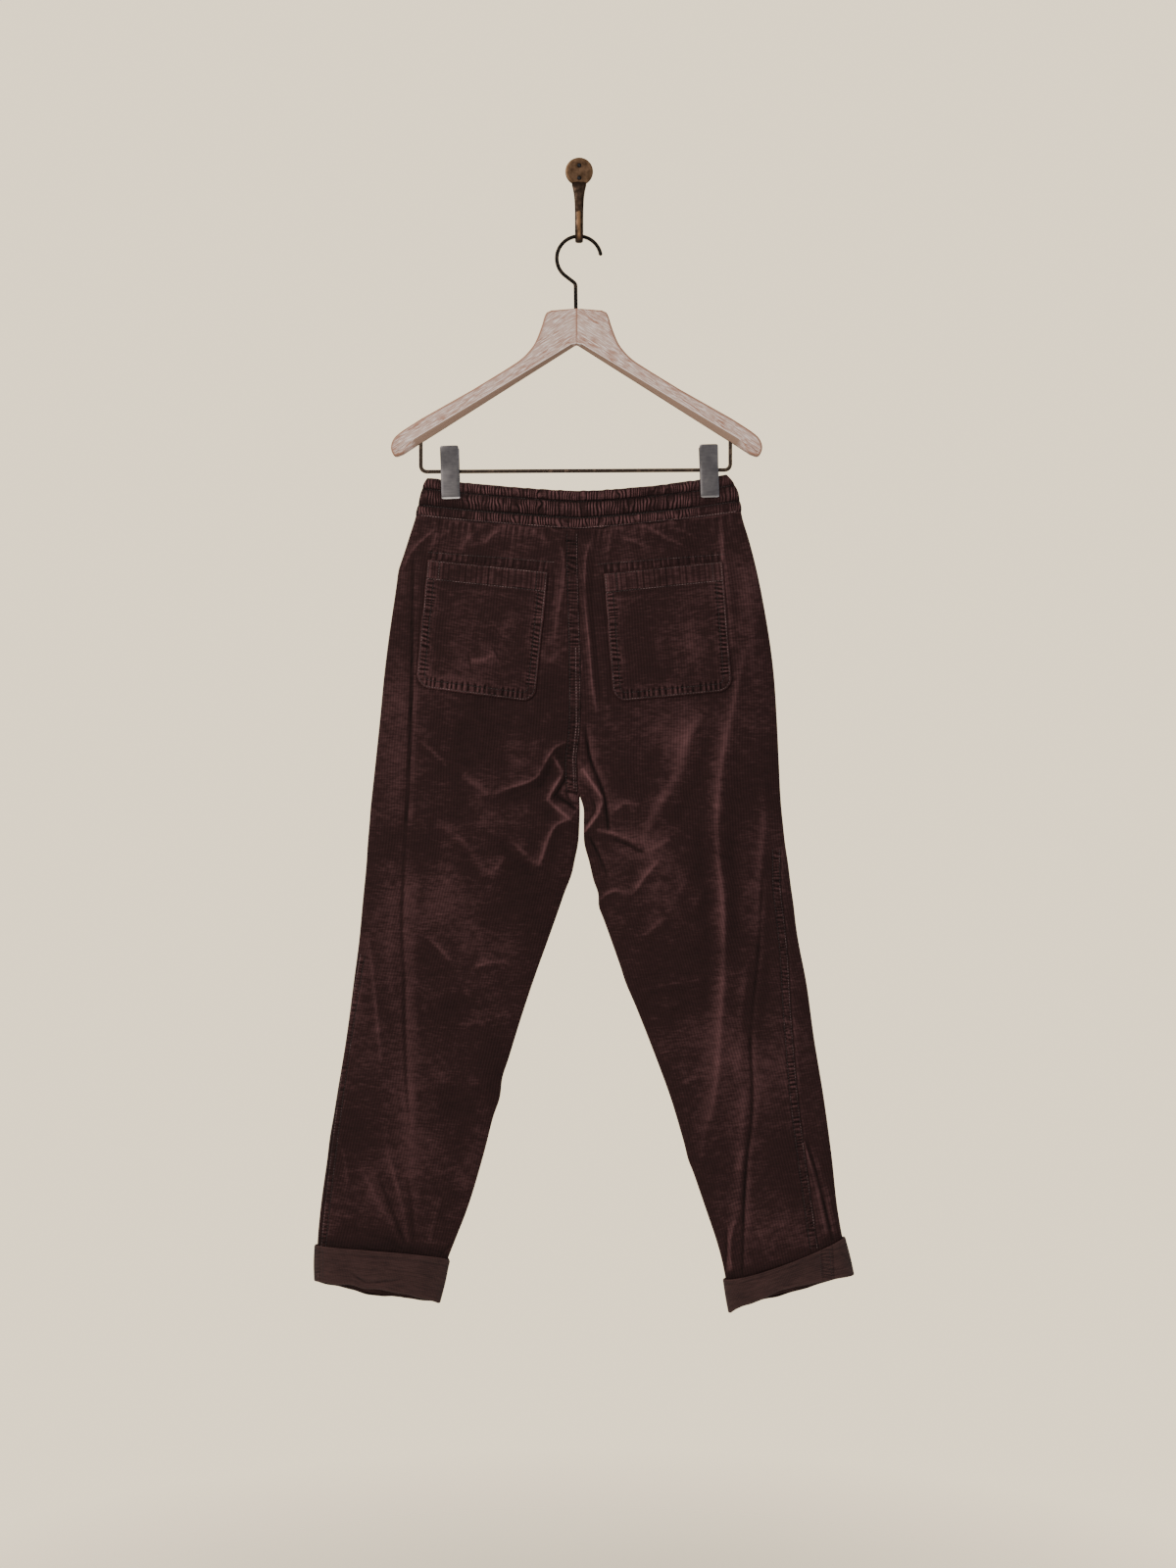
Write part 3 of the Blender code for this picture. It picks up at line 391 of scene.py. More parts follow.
SEAMS = [
    Seam("back_left", 13.0, 0.55, [(-1.6, 440), (-1.2, 480), (0.2, 527), (1.8, 597), (1.4, 667),
                                   (-2.8, 710), (-1.4, 748)]),
    Seam("back_right", 9.5, 0.6, [(240, 815), (240.6, 860), (244.5, 895), (249, 941), (251.5, 988),
                                  (255, 1040), (261, 1110), (268, 1168), (276, 1226), (285, 1290)]),
    Seam("back_left", -7.0, 0.45, [(-262, 940), (-274, 1010), (-287, 1100), (-296, 1170), (-303, 1230),
                                   (-309, 1290)]),
    Seam("cuff_left_back", -6.0, 0.4, [(-311.8, 1282), (-311.4, 1340)]),
    Seam("cuff_right_back", 12.5, 0.5, [(298.6, 1284), (299.4, 1306), (301, 1330)]),
    Seam("front_left", 12.0, 0.5, [(-1.6, 440), (0.2, 527), (1.8, 597), (1.4, 667),
                                   (-2.8, 710), (-1.4, 748)]),
    Seam("front_right", -8.0, 0.5, [(205, 470), (222, 600), (232, 760), (240, 860), (252, 960), (268, 1080),
                                    (284, 1180), (300, 1290)]),
]


def as_shares(values: Array) -> Array:
    """0 to 1 with level ends."""
    t = np.clip(values, 0.0, 1.0)
    return t * t * (3 - 2 * t)


def bell(x: Array) -> Array:
    """1 at 0, and next to nothing past 2 on each side."""
    return np.exp(-(x**2))


def ruched(walk: Array) -> Array:
    """Tucks one unit apart: 0 in each, 1 between them."""
    return np.abs(np.sin(math.pi * walk))


def value_noise(x: Array, y: Array, seed: int) -> Array:
    """Smooth noise from -1 to 1, with about one bump to a unit.

    Args:
        x, y: The places, as arrays of one shape.
        seed: Chooses the pattern.

    Returns:
        The noise there.
    """
    x, y = np.broadcast_arrays(np.asarray(x, float), np.asarray(y, float))
    left, low = np.floor(x).astype(np.int64), np.floor(y).astype(np.int64)
    tx, ty = as_shares(x - left), as_shares(y - low)

    def corner(i: Array, j: Array) -> Array:
        """The noise at whole numbers, whose bits the odd multipliers scatter.

        Args:
            i, j: The numbers.

        Returns:
            A value from -1 to 1 for each.
        """
        mixed = (i * 374761393 + j * 668265263 + seed * SCATTER) & 0xFFFFFFFF
        mixed = ((mixed ^ (mixed >> 13)) * SCATTER) & 0xFFFFFFFF
        return ((mixed ^ (mixed >> 16)) & 0xFFFF) / 32767.5 - 1.0

    bottom = corner(left, low) * (1 - tx) + corner(left + 1, low) * tx
    top = corner(left, low + 1) * (1 - tx) + corner(left + 1, low + 1) * tx
    return bottom * (1 - ty) + top * ty


def curve_through(points: list, steps: int) -> Array:
    """A smooth curve that passes through each given point.

    Args:
        points: What it passes through.
        steps: How many steps lead from each one to the next.

    Returns:
        Its points.
    """
    p = np.array(points, float)
    if len(p) < 3:
        return np.linspace(p[0], p[-1], steps + 1)
    ends = np.vstack([2 * p[0] - p[1], p, 2 * p[-1] - p[-2]])
    t = np.linspace(0, 1, steps, endpoint=False)[:, None]
    found = []
    for a, b, c, d in zip(ends, ends[1:], ends[2:], ends[3:]):
        second, third = 2 * a - 5 * b + 4 * c - d, 3 * b - a - 3 * c + d
        found.append(0.5 * (2 * b + (c - a) * t + second * t**2 + third * t**3))
    return np.vstack(found + [p[-1:]])


def along_line(line: Array, across: Array, below: Array) -> tuple[Array, Array]:
    """How places lie beside a line.

    Args:
        line: The line's points, as rows of (across, below).
        across, below: The places.

    Returns:
        The distance from the line, over 0 to its right as one walks down it, and the distance
        walked along it.
    """
    steps = np.diff(line, axis=0)
    lengths = np.maximum(np.linalg.norm(steps, axis=1), 1e-9)
    starts = np.concatenate([[0.0], np.cumsum(lengths)])
    best = np.full(across.shape, 1e9)
    beside, walked = np.zeros(across.shape), np.zeros(across.shape)
    for k, (start, step, length) in enumerate(zip(line[:-1], steps, lengths)):
        dx, dy = across - start[0], below - start[1]
        t = np.clip((dx * step[0] + dy * step[1]) / length**2, 0, 1)
        away = np.hypot(dx - t * step[0], dy - t * step[1])
        nearer = away < best
        turn = np.where(dx * step[1] - dy * step[0] > 0, 1.0, -1.0)
        best = np.where(nearer, away, best)
        beside = np.where(nearer, away * turn, beside)
        walked = np.where(nearer, starts[k] + t * length, walked)
    return beside, walked


def clip_distance(across: Array) -> Array:
    """How far the nearer clip is."""
    return np.minimum(*(np.abs(across - place) for place in CLIP_PLACES.values()))


class TrouserForm:
    """The smooth form of the trousers, read from the tables."""

    def __init__(self) -> None:
        """Takes the sections' columns and their slopes."""
        self.keys = np.array([row.below for row in SECTIONS], float)
        self.columns = {
            name: np.array([getattr(row, name) for row in SECTIONS], float) for name in Section._fields
        }
        self.slopes = {name: np.gradient(values, self.keys) for name, values in self.columns.items()}

    def column(self, name: str, below: Array) -> Array:
        """One column of the sections, on a smooth curve through its rows.

        Args:
            name: Which column.
            below: The heights.

        Returns:
            Its values there, with the outline's notches.
        """
        below = np.asarray(below, float)
        i = np.clip(np.searchsorted(self.keys, below) - 1, 0, len(self.keys) - 2)
        span = self.keys[i + 1] - self.keys[i]
        t = np.clip((below - self.keys[i]) / span, 0.0, 1.0)
        values, slopes = self.columns[name], self.slopes[name]
        found = values[i] * (1 + 2 * t) * (1 - t) ** 2 + values[i + 1] * t * t * (3 - 2 * t)
        found = found + slopes[i] * span * t * (1 - t) ** 2 - slopes[i + 1] * span * t * t * (1 - t)
        outward = -1 if name in ("left_out", "right_in") else 1
        for notch in NOTCHES:
            if notch.edge == name:
                found = found + outward * notch.push * bell((below - notch.below) / notch.reach)
        return found

    def pinch(self, across: Array, below: Array) -> Array:
        """How far the nearer clip presses the cloth in."""
        fade = 1 - as_shares((below - PINCH_ENDS[0]) / (PINCH_ENDS[1] - PINCH_ENDS[0]))
        return CLIP_PINCH * fade * bell(clip_distance(across) / PINCH_SPREAD)

    def rows(self, side: Side, stops: list[tuple[Level, int]]) -> Array:
        """Level lines as rows of (out, in, bow).

        Args:
            side: The leg.
            stops: Levels, each with the number of rows down to the next one.

        Returns:
            The rows, with one for the last level.
        """
        ends = [level.row(side) for level, _ in stops]
        found = []
        for (_, count), start, end in zip(stops, ends, ends[1:]):
            shares = np.linspace(0, 1, count, endpoint=False)[:, None]
            found.append(start + (end - start) * shares)
        return np.vstack([*found, ends[-1]])

    def flat(self, side: Side, s: Array, rows: Array, inset: float = 0.0) -> tuple[Array, Array]:
        """Where grid points lie as seen from the room.

        Args:
            side: The leg.
            s: Shares from the outseam to the centre or inseam.
            rows: Level lines from self.rows.
            inset: How far the whole is moved in.

        Returns:
            How far across and below each point is.
        """
        outs, ins, bows = (rows[:, k, None] for k in range(3))
        toward = 1 if side is Side.LEFT else -1
        seat = ins <= CROTCH_BELOW
        below = ins + (outs - ins) * (1 - s[None, :]) ** bows
        edge = self.column(side.value + "_out", outs) + toward * inset
        seam = np.where(seat, self.column("left_in", ins), self.column(side.value + "_in", ins))
        overlap = np.where(seat & (side is Side.LEFT), SEAM_OVERLAP, 0.0)
        seam = seam - toward * (inset * self.closing(ins) + GAP / 2) + overlap
        return edge + (seam - edge) * s[None, :], below

    def closing(self, ins: Array) -> Array:
        """How far the inner edge closes at a height: 0 in the seat, 1 down the leg."""
        return np.clip((ins - CROTCH_BELOW + CROTCH_ROUND) / CROTCH_ROUND, 0.0, 1.0) ** 2

    def grid(
        self, side: Side, face: Face, s: Array, rows: Array, lift: Array | float = 0.0, inset: float = 0.0
    ) -> Array:
        """The points of one face of a leg.

        Args:
            side, face: Which face of which leg.
            s: Shares from the outseam to the centre or inseam.
            rows: Level lines from self.rows.
            lift: How far each point is raised out of the smooth form.
            inset: How far the whole is moved in.

        Returns:
            Points in metres, as rows by columns by 3.
        """
        across, below = self.flat(side, s, rows, inset)
        inner = self.closing(rows[:, 1, None]) * s[None, :] ** ROUNDNESS
        rounding = np.sqrt(np.maximum(1 - (1 - s[None, :]) ** ROUNDNESS, 0) * np.maximum(1 - inner, 0))
        half = (self.column("depth", below) - self.pinch(across, below) - inset + lift) * rounding
        out = self.column("middle", below) - face.value * (GAP / 2 + np.maximum(half, 0.0))
        return np.stack([across, out, -below], axis=-1) * MM


FORM = TrouserForm()


# ---------------------------------------------------------------- relief on the form, in millimetres
def crease_relief(panel: str, across: Array, below: Array) -> tuple[Array, Array]:
    """What the creases of a panel do to it.

    Args:
        panel: Whose creases.
        across, below: The places.

    Returns:
        How far they lift the cloth, and a painted tone, over 0 for painted sheen and under 0 for
        painted shade: a thin line along each crest or fold, and a soft halo.
    """
    lift, tone = np.zeros(across.shape), np.zeros(across.shape)
    for number, crease in enumerate(CREASES.get(panel, [])):
        ridge = crease.height > 0
        line = curve_through(crease.line, 5)
        reach = 6 * max(crease.left, crease.right)
        low, high = line.min(0) - reach, line.max(0) + reach
        near = (across > low[0]) & (across < high[0]) & (below > low[1]) & (below < high[1])
        if not near.any():
            continue
        beside, walked = along_line(line, across[near], below[near])
        share = walked / np.linalg.norm(np.diff(line, axis=0), axis=1).sum()
        # a crease fades out at its ends, and its height and width vary along it
        taper = 0.25 + 0.75 * np.sqrt(np.maximum(4 * share * (1 - share), 0))
        amount = crease.height * taper * (1 + 0.38 * value_noise(walked / 30, number, 11))
        crisp = float(np.clip((1.75 - crease.crest) / 0.6, 0, 1))
        narrow = (0.75 if ridge else 0.6) if crisp > 0.5 else 1.0
        width = narrow * np.where(beside > 0, crease.right, crease.left)
        width = width * (1 + 0.18 * value_noise(walked / 34, number, 12))
        away = np.abs(beside) / width
        profile = 0.5 * np.exp(-((away * 1.25) ** crease.crest)) + 0.5 * bell(away / 2.2)
        lift[near] += (0.7 if ridge else 0.5) * amount * profile
        # a thin painted line along each crease, sheen on a crest and shade in a trough, and a soft painted
        # halo beside it
        thin = bell(beside / (PAINTED_CREASE_LINE if ridge else 0.8 * PAINTED_CREASE_LINE))
        halo = bell(beside / (2.4 * width))
        if ridge:
            soft, sharp = 0.017 - 0.011 * crisp, 0.045 * crisp
        else:
            soft, sharp = 0.017 if crisp < 0.5 else -0.012, 0.05
        broken = 0.75 + 0.5 * value_noise(walked / 9, number, 13)
        tone[near] += amount * (sharp * crisp * broken * thin + soft * halo)
    return lift, tone


def seam_relief(panel: str, across: Array, below: Array) -> tuple[Array, Array]:
    """The puckered strips of a panel's felled seams, sunk along their stitches.

    Args:
        panel: Whose seams.
        across, below: The places.

    Returns:
        Their height, and a painted shade: how much darker (under 0) their tucks and stitch lines are
            painted.
    """
    total, tone = np.zeros(across.shape), np.zeros(across.shape)
    for number, seam in enumerate(SEAMS):
        if seam.panel != panel:
            continue
        beside, walked = along_line(curve_through(seam.line, SEAM_STEPS), across, below)
        inward = -beside if seam.strip > 0 else beside
        width = abs(seam.strip)
        ends = as_shares((walked - 0.1) / 6)
        strip = as_shares((inward + 1) / 2) * as_shares((width + 2 - inward) / 3) * ends
        uneven = 0.9 * value_noise(walked / 11, number + inward / 25, 21)
        wave = ruched(walked / 4.5 + uneven + inward / 34)
        tuck = seam.pucker * (1 - wave) ** 1.3 * (0.6 + 0.4 * value_noise(walked / 9, number, 22))
        sewn = ends * (0.6 * bell(inward / 1.1) + 0.5 * bell((inward - width) / 1.1))
        total += strip * (0.3 - 3.2 * tuck) - sewn
        # painted shade in the tucks and along the sunk stitches
        tone -= strip * (0.6 * tuck - 0.02) + 0.08 * sewn
    return total, tone


def rumple(across: Array, below: Array, seed: int) -> Array:
    """The slight waves that cloth keeps everywhere, from 90 mm down to 7 mm long.

    Args:
        across, below: The places.
        seed: Chooses the pattern.

    Returns:
        Their height.
    """
    x = across + 14 * value_noise(across / 60, below / 70, seed + 5)
    y = below + 14 * value_noise(across / 70, below / 60, seed + 6)
    total = 1.0 * value_noise(x / 62, y / 105, seed)
    total += 0.5 * value_noise(x / 33, y / 44, seed + 1)
    total += 0.22 * value_noise(x / 18, y / 14, seed + 2)
    return total + 0.07 * value_noise(x / 9, y / 6.5, seed + 3)


def gather_relief(across: Array, fall: Array, seed: int) -> Array:
    """The gathers that the elastic sets off, dying away down from the waistband's seam.

    Args:
        across: The places.
        fall: How far below the seam they are.
        seed: Chooses the pattern.

    Returns:
        Their height.
    """
    phase = across / 10.5 + 1.5 * value_noise(across / 18 + fall / 60, 0.5, seed)
    reach = 12 + 7 * value_noise(across / 12, 1.5, seed)
    height = 0.5 + 0.45 * value_noise(across / 21, 2.5, seed)
    start = as_shares((fall + 1) / 6)
    return height * np.sin(2 * math.pi * phase) * np.exp(-np.maximum(fall, 0) / reach) * start


def seam_wave(across: Array) -> Array:
    """How the waistband's lower seam is drawn up and down by the elastic, in millimetres."""
    return 1.9 * value_noise(across / 9, 0.5, 97) + 1.1 * value_noise(across / 21, 0.5, 98)


def blurred(values: Array, reach: int) -> Array:
    """A grid's values averaged over a square of its points.

    Args:
        values: The grid.
        reach: How many points the square reaches to each side.

    Returns:
        The averages.
    """
    for axis in (0, 1):
        ends = [(reach + 1, reach) if axis == way else (0, 0) for way in (0, 1)]
        total = np.cumsum(np.pad(values, ends, mode="edge"), axis=axis)
        count = values.shape[axis]
        upper = np.take(total, np.arange(count) + 2 * reach + 1, axis=axis)
        values = (upper - np.take(total, np.arange(count), axis=axis)) / (2 * reach + 1)
    return values


def painted_sheen_and_shade(relief: Array, tone: Array | float = 0.0, strong: float = 1.0) -> Array:
    """Painted sheen and shade from the relief: 0 is painted shade in a trough, 1 painted sheen on a crest.

    Args:
        relief: The height of each point of a grid.
        tone: What to add.
        strong: How much small and large bumps of the relief show.

    Returns:
        A value for each point.
    """
    near = (relief - blurred(relief, 2)) / 2.2
    wide = (relief - blurred(relief, 8)) / 11.0
    return np.clip(0.5 + strong * (near + wide) + tone, 0.0, 1.0)


def painted_light_from_upper_left(relief: Array, across: Array, below: Array, face: Face) -> Array:
    """Painted light from the lamp at the upper left: paler where the relief turns up and to the left, darker
    where it turns down and to the right.

    Args:
        relief: The height of each point.
        across, below: Where the points are.
        face: Which face it is on.

    Returns:
        A value from -0.7 to 0.7 for each point.
    """
    aside = np.gradient(relief, axis=1) / np.gradient(across, axis=1)
    down = np.gradient(relief, axis=0) / np.gradient(below, axis=0)
    return np.clip(face.value * aside + 0.7 * down, -0.7, 0.7)


def grain_of(grid: Array, number: int) -> Array:
    """Where each point lies on the flat cloth.

    Args:
        grid: The points, as rows by columns by 3.
        number: The panel's number, because no two are cut from the same stretch.

    Returns:
        Its place across the wales and along them, in metres.
    """
    middle = grid.shape[1] // 2
    steps = np.linalg.norm(np.diff(grid, axis=1), axis=2)
    across = np.concatenate([np.zeros((len(grid), 1)), np.cumsum(steps, axis=1)], axis=1)
    across -= across[:, middle, None]
    down = np.cumsum(np.linalg.norm(np.diff(grid[:, middle], axis=0), axis=1))
    down = np.concatenate([[0.0], down])
    away = CUT_APART * number
    return np.stack([across + away, np.broadcast_to(down[:, None], across.shape) + away], axis=-1)


def column_shares(count: int, crowding: float = 0.45) -> Array:
    """Places along s, closer together at the tube's edges."""
    even = np.linspace(0, 1, count + 1)
    return (1 - crowding) * even + crowding * (0.5 - 0.5 * np.cos(math.pi * even))


# ---------------------------------------------------------------- meshes
def make_mesh(
    name: str, points: Array, faces: list, dress: list | None, finishes: list, sharp: float = 75.0
) -> Object:
    """A smooth object from points and faces.

    Args:
        name: The object's name.
        points: Rows of x, y, z in metres.
        faces: Tuples of point numbers.
        dress: The grain (two columns) and ridge (one) of each point, or nothing; the ridge
            value carries painted sheen and shade on the cloth, and wear and painted highlights on the
            hardware.
        finishes: Its materials, each with the number of faces that take it, in the faces' order.
        sharp: The angle in degrees over which an edge shows.

    Returns:
        The object, in the scene.
    """
    mesh = bpy.data.meshes.new(name)
    mesh.from_pydata(points.tolist(), [], faces)
    for material, _ in finishes:
        mesh.materials.append(material)
    if len(finishes) > 1:
        turns = [np.full(count, k, np.int32) for k, (_, count) in enumerate(finishes)]
        mesh.polygons.foreach_set("material_index", np.concatenate(turns))
    if dress:
        grain, ridge = dress
        corners = np.empty(len(mesh.loops), np.int32)
        mesh.loops.foreach_get("vertex_index", corners)
        layer = mesh.uv_layers.new(name="grain")
        layer.data.foreach_set("uv", grain.reshape(-1, 2)[corners].astype(np.float32).ravel())
        # the ridge value: painted sheen and shade on the cloth, wear and painted highlights on the hardware
        tones = mesh.attributes.new("ridge", "FLOAT", "POINT")
        tones.data.foreach_set("value", ridge.astype(np.float32).ravel())
    mesh.shade_smooth()
    mesh.set_sharp_from_angle(angle=math.radians(sharp))
    mesh.update()
    made = bpy.data.objects.new(name, mesh)
    bpy.context.collection.objects.link(made)
    return made


def zipped(first: Array, second: Array) -> list[tuple[int, int, int]]:
    """Triangles that join two rims with the same ends, whatever their counts.

    Args:
        first, second: The rims' point numbers.

    Returns:
        The triangles.
    """
    i = j = 0
    last, end = len(first) - 1, len(second) - 1
    found = []
    while i < last or j < end:
        if j == end or (i + 1) * end <= (j + 1) * last and i < last:
            found.append((first[i + 1], first[i], second[j]))
            i += 1
        else:
            found.append((first[i], second[j], second[j + 1]))
            j += 1
    return found


def quads(numbers: Array) -> Array:
    """The faces of a grid of point numbers."""
    corners = [numbers[:-1, :-1], numbers[:-1, 1:], numbers[1:, 1:], numbers[1:, :-1]]
    return np.stack([c.ravel() for c in corners], axis=1)


def tube_faces(count: int, around: int) -> list[tuple[int, ...]]:
    """The faces of a closed tube.

    Args:
        count: Its rings.
        around: The points of each.

    Returns:
        Its sides, then its two ends.
    """
    numbers = np.arange(count * around).reshape(count, around)
    sides = quads(np.concatenate([numbers, numbers[:, :1]], axis=1)).tolist()
    return [*sides, tuple(numbers[0][::-1].tolist()), tuple(numbers[-1].tolist())]


def cloth_shell(name: str, outer: Array, thick: float, face: Face, dress: list, finishes: list) -> Object:
    """A thin closed sheet on a grid of points, with a coarser grid as its inside.

    Args:
        name: The object's name.
        outer: The outside, as rows by columns by 3, both odd in count.
        thick: Its thickness in millimetres.
        face: Which way the outside looks.
        dress: The grain and ridge at each point of the grid; the ridge value is painted sheen and shade.
        finishes: The finishes of the outside and of the inside.

    Returns:
        The object.
    """
    normals = np.cross(np.gradient(outer, axis=1), np.gradient(outer, axis=0))
    normals /= np.maximum(np.linalg.norm(normals, axis=-1, keepdims=True), 1e-12)
    turned = (normals[..., 1] * -face.value).sum() < 0
    if turned:
        normals = -normals
    inner = (outer - normals * (thick * MM))[::2, ::2]
    count = outer.shape[0] * outer.shape[1]
    inner_count = inner.shape[0] * inner.shape[1]
    front = np.arange(count).reshape(outer.shape[:2])
    back = count + np.arange(inner_count).reshape(inner.shape[:2])
    rims = []
    for cut in (np.s_[0, :], np.s_[:, -1], np.s_[-1, ::-1], np.s_[::-1, 0]):
        rims += zipped(front[cut], back[cut])
    outside, inside = quads(front), quads(back)[:, ::-1]
    faces = outside.tolist() + rims + inside.tolist()
    if turned:
        faces = [tuple(reversed(f)) for f in faces]
    grain, ridge = dress
    grain = np.concatenate([grain.reshape(-1, 2), grain[::2, ::2].reshape(-1, 2)])
    ridge = np.concatenate([ridge.ravel(), np.full(inner_count, 0.5)])
    points = np.concatenate([outer.reshape(-1, 3), inner.reshape(-1, 3)])
    counts = (len(outside) + len(rims), len(inside))
    shares = [(finish.material(), number) for finish, number in zip(finishes, counts)]
    return make_mesh(name, points, faces, [grain, ridge], shares)


def lofted(
    name: str, rings: Array, finish: "Finish", sharp: float = 40.0, dress: list | None = None
) -> Object:
    """A solid through rings of points, with its ends filled.

    Args:
        name: The object's name.
        rings: The points in metres, as rings by points by 3.
        finish: What it is dressed in.
        sharp: The angle in degrees over which an edge shows.
        dress: The grain and ridge of each point, or nothing.

    Returns:
        The object.
    """
    faces = tube_faces(*rings.shape[:2])
    made = make_mesh(name, rings.reshape(-1, 3), faces, dress, [(finish.material(), len(faces))], sharp)
    face_out(made)
    return made


def face_out(made: Object) -> None:
    """Turns a closed mesh's faces outwards and splits its flat ends well.

    Args:
        made: The object.
    """
    mesh = bmesh.new()
    mesh.from_mesh(made.data)
    bmesh.ops.recalc_face_normals(mesh, faces=mesh.faces[:])
    if mesh.calc_volume(signed=True) < 0:
        bmesh.ops.reverse_faces(mesh, faces=mesh.faces[:])
    mesh.normal_update()
    bmesh.ops.triangulate(mesh, faces=[f for f in mesh.faces if len(f.verts) > 4])
    mesh.to_mesh(made.data)
    mesh.free()


def joined(name: str, pieces: list[Object]) -> Object:
    """Several meshes as one object.

    Args:
        name: Its name.
        pieces: What it is made of.

    Returns:
        The first of them, which holds the rest.
    """
    with bpy.context.temp_override(active_object=pieces[0], selected_editable_objects=pieces):
        bpy.ops.object.join()
    pieces[0].name = pieces[0].data.name = name
    return pieces[0]


def rod(name: str, path: Array, radius: float, finish: "Finish", sides: int = 14) -> Object:
    """A round wire with domed ends.

    Args:
        name: The object's name.
        path: Its middle line, in millimetres of across, out and below.
        radius: Half its thickness.
        finish: What it is dressed in.
        sides: How many points go round it.

    Returns:
        The object.
    """
    path = np.asarray(path, float)
    ways = np.gradient(path, axis=0)
    ways /= np.linalg.norm(ways, axis=1, keepdims=True)
    aside = np.array([0.0, 1.0, 0.0]) if abs(ways[0][1]) < 0.9 else np.array([1.0, 0.0, 0.0])
    angles = 2 * math.pi * np.arange(sides) / sides
    last = len(path) - 1
    # each station is a point of the path, how far past it in radii, and the radius there
    stations = [(0, -DOME, 0.45), (0, -DOME * 0.55, 0.82)] + [(k, 0.0, 1.0) for k in range(len(path))]
    stations += [(last, DOME * 0.55, 0.82), (last, DOME, 0.45)]
    rings = []
    for k, past, share in stations:
        aside = aside - ways[k] * (aside @ ways[k])
        aside /= np.linalg.norm(aside)
        other = np.cross(ways[k], aside)
        turn = np.cos(angles)[:, None] * aside + np.sin(angles)[:, None] * other
        rings.append((path[k] + ways[k] * past * radius + turn * radius * share) * MM)
    return lofted(name, np.array(rings) * (1, -1, -1), finish, 60)


def declare(made: Object, slot: str, *nodes: str) -> Object:
    """Says which solids a piece stands for, and reports it.

    Args:
        made: The piece.
        slot: Its material slot; not used.
        nodes: The solids.

    Returns:
        The piece.
    """
    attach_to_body(made, "root")
    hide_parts(*nodes)
    LOG.info("%s stands for %s, with %d faces", made.name, ", ".join(nodes), len(made.data.polygons))
    return made


# ---------------------------------------------------------------- finishes
def linear(code: str) -> tuple[float, float, float, float]:
    """Turns a colour from sRGB to linear light.

    Args:
        code: The sRGB colour, in hex.

    Returns:
        Red, green, blue and full alpha.
    """
    shares = [int(code[k : k + 2], 16) / 255 for k in (1, 3, 5)]
    red, green, blue = (c / 12.92 if c <= 0.04045 else ((c + 0.055) / 1.055) ** 2.4 for c in shares)
    return red, green, blue, 1.0


def attach(tree: NodeTree, node: Node, inputs: dict) -> None:
    """Links a node's inputs to sockets, and sets those that get a value.

    Args:
        tree: Where the node is.
        node: The node.
        inputs: What its inputs get, by name or number.
    """
    for name, value in inputs.items():
        if isinstance(value, NodeSocket):
            tree.links.new(value, node.inputs[name])
        else:
            node.inputs[name].default_value = value


def add_node(tree: NodeTree, kind: str, inputs: dict | None = None, **settings: object) -> Outputs:
    """Adds a shader node.

    Args:
        tree: Where it goes.
        kind: Its type, without the "ShaderNode" in front.
        inputs: What its inputs get, by name or number: a socket is linked, a value is set.
        settings: Its properties. "stops" are a colour ramp's (place, hex colour) pairs.

    Returns:
        Its outputs, by name or number.
    """
    made = tree.nodes.new("ShaderNode" + kind)
    for place, (at, code) in enumerate(settings.pop("stops", ())):
        ramp = made.color_ramp.elements
        stop = ramp[place] if place < 2 else ramp.new(at)
        stop.position = at
        stop.color = linear(code)
    for name, value in settings.items():
        setattr(made, name, value)
    attach(tree, made, inputs or {})
    return made.outputs


@dataclass(frozen=True)
class Finish:
    """What every finish sets on the shader's own sockets."""

    name: str
    roughness: float
    metallic: float = 0.0
    ior: float = 1.5

    def material(self) -> Material:
        """The material, made the first time it is asked for.

        Returns:
            The material.
        """
        found = bpy.data.materials.get(self.name)
        if found:
            return found
        made = bpy.data.materials.new(self.name)
        made.use_nodes = True
        tree = made.node_tree
        shader = tree.nodes["Principled BSDF"]
        attach(tree, shader, {"Roughness": self.roughness, "Metallic": self.metallic, "IOR": self.ior})
        attach(tree, shader, self.dress(partial(add_node, tree)))
        return made

    def dress(self, add: Callable) -> dict:
        """Adds the nodes of one finish.

        Args:
            add: Adds a node to the material's tree.

        Returns:
            What the shader's inputs get.
        """
        raise NotImplementedError


def band_scale(period: float) -> float:
    """A wave texture's scale for bands that lie a period apart, in metres."""
    return 2 * math.pi / (20 * period)


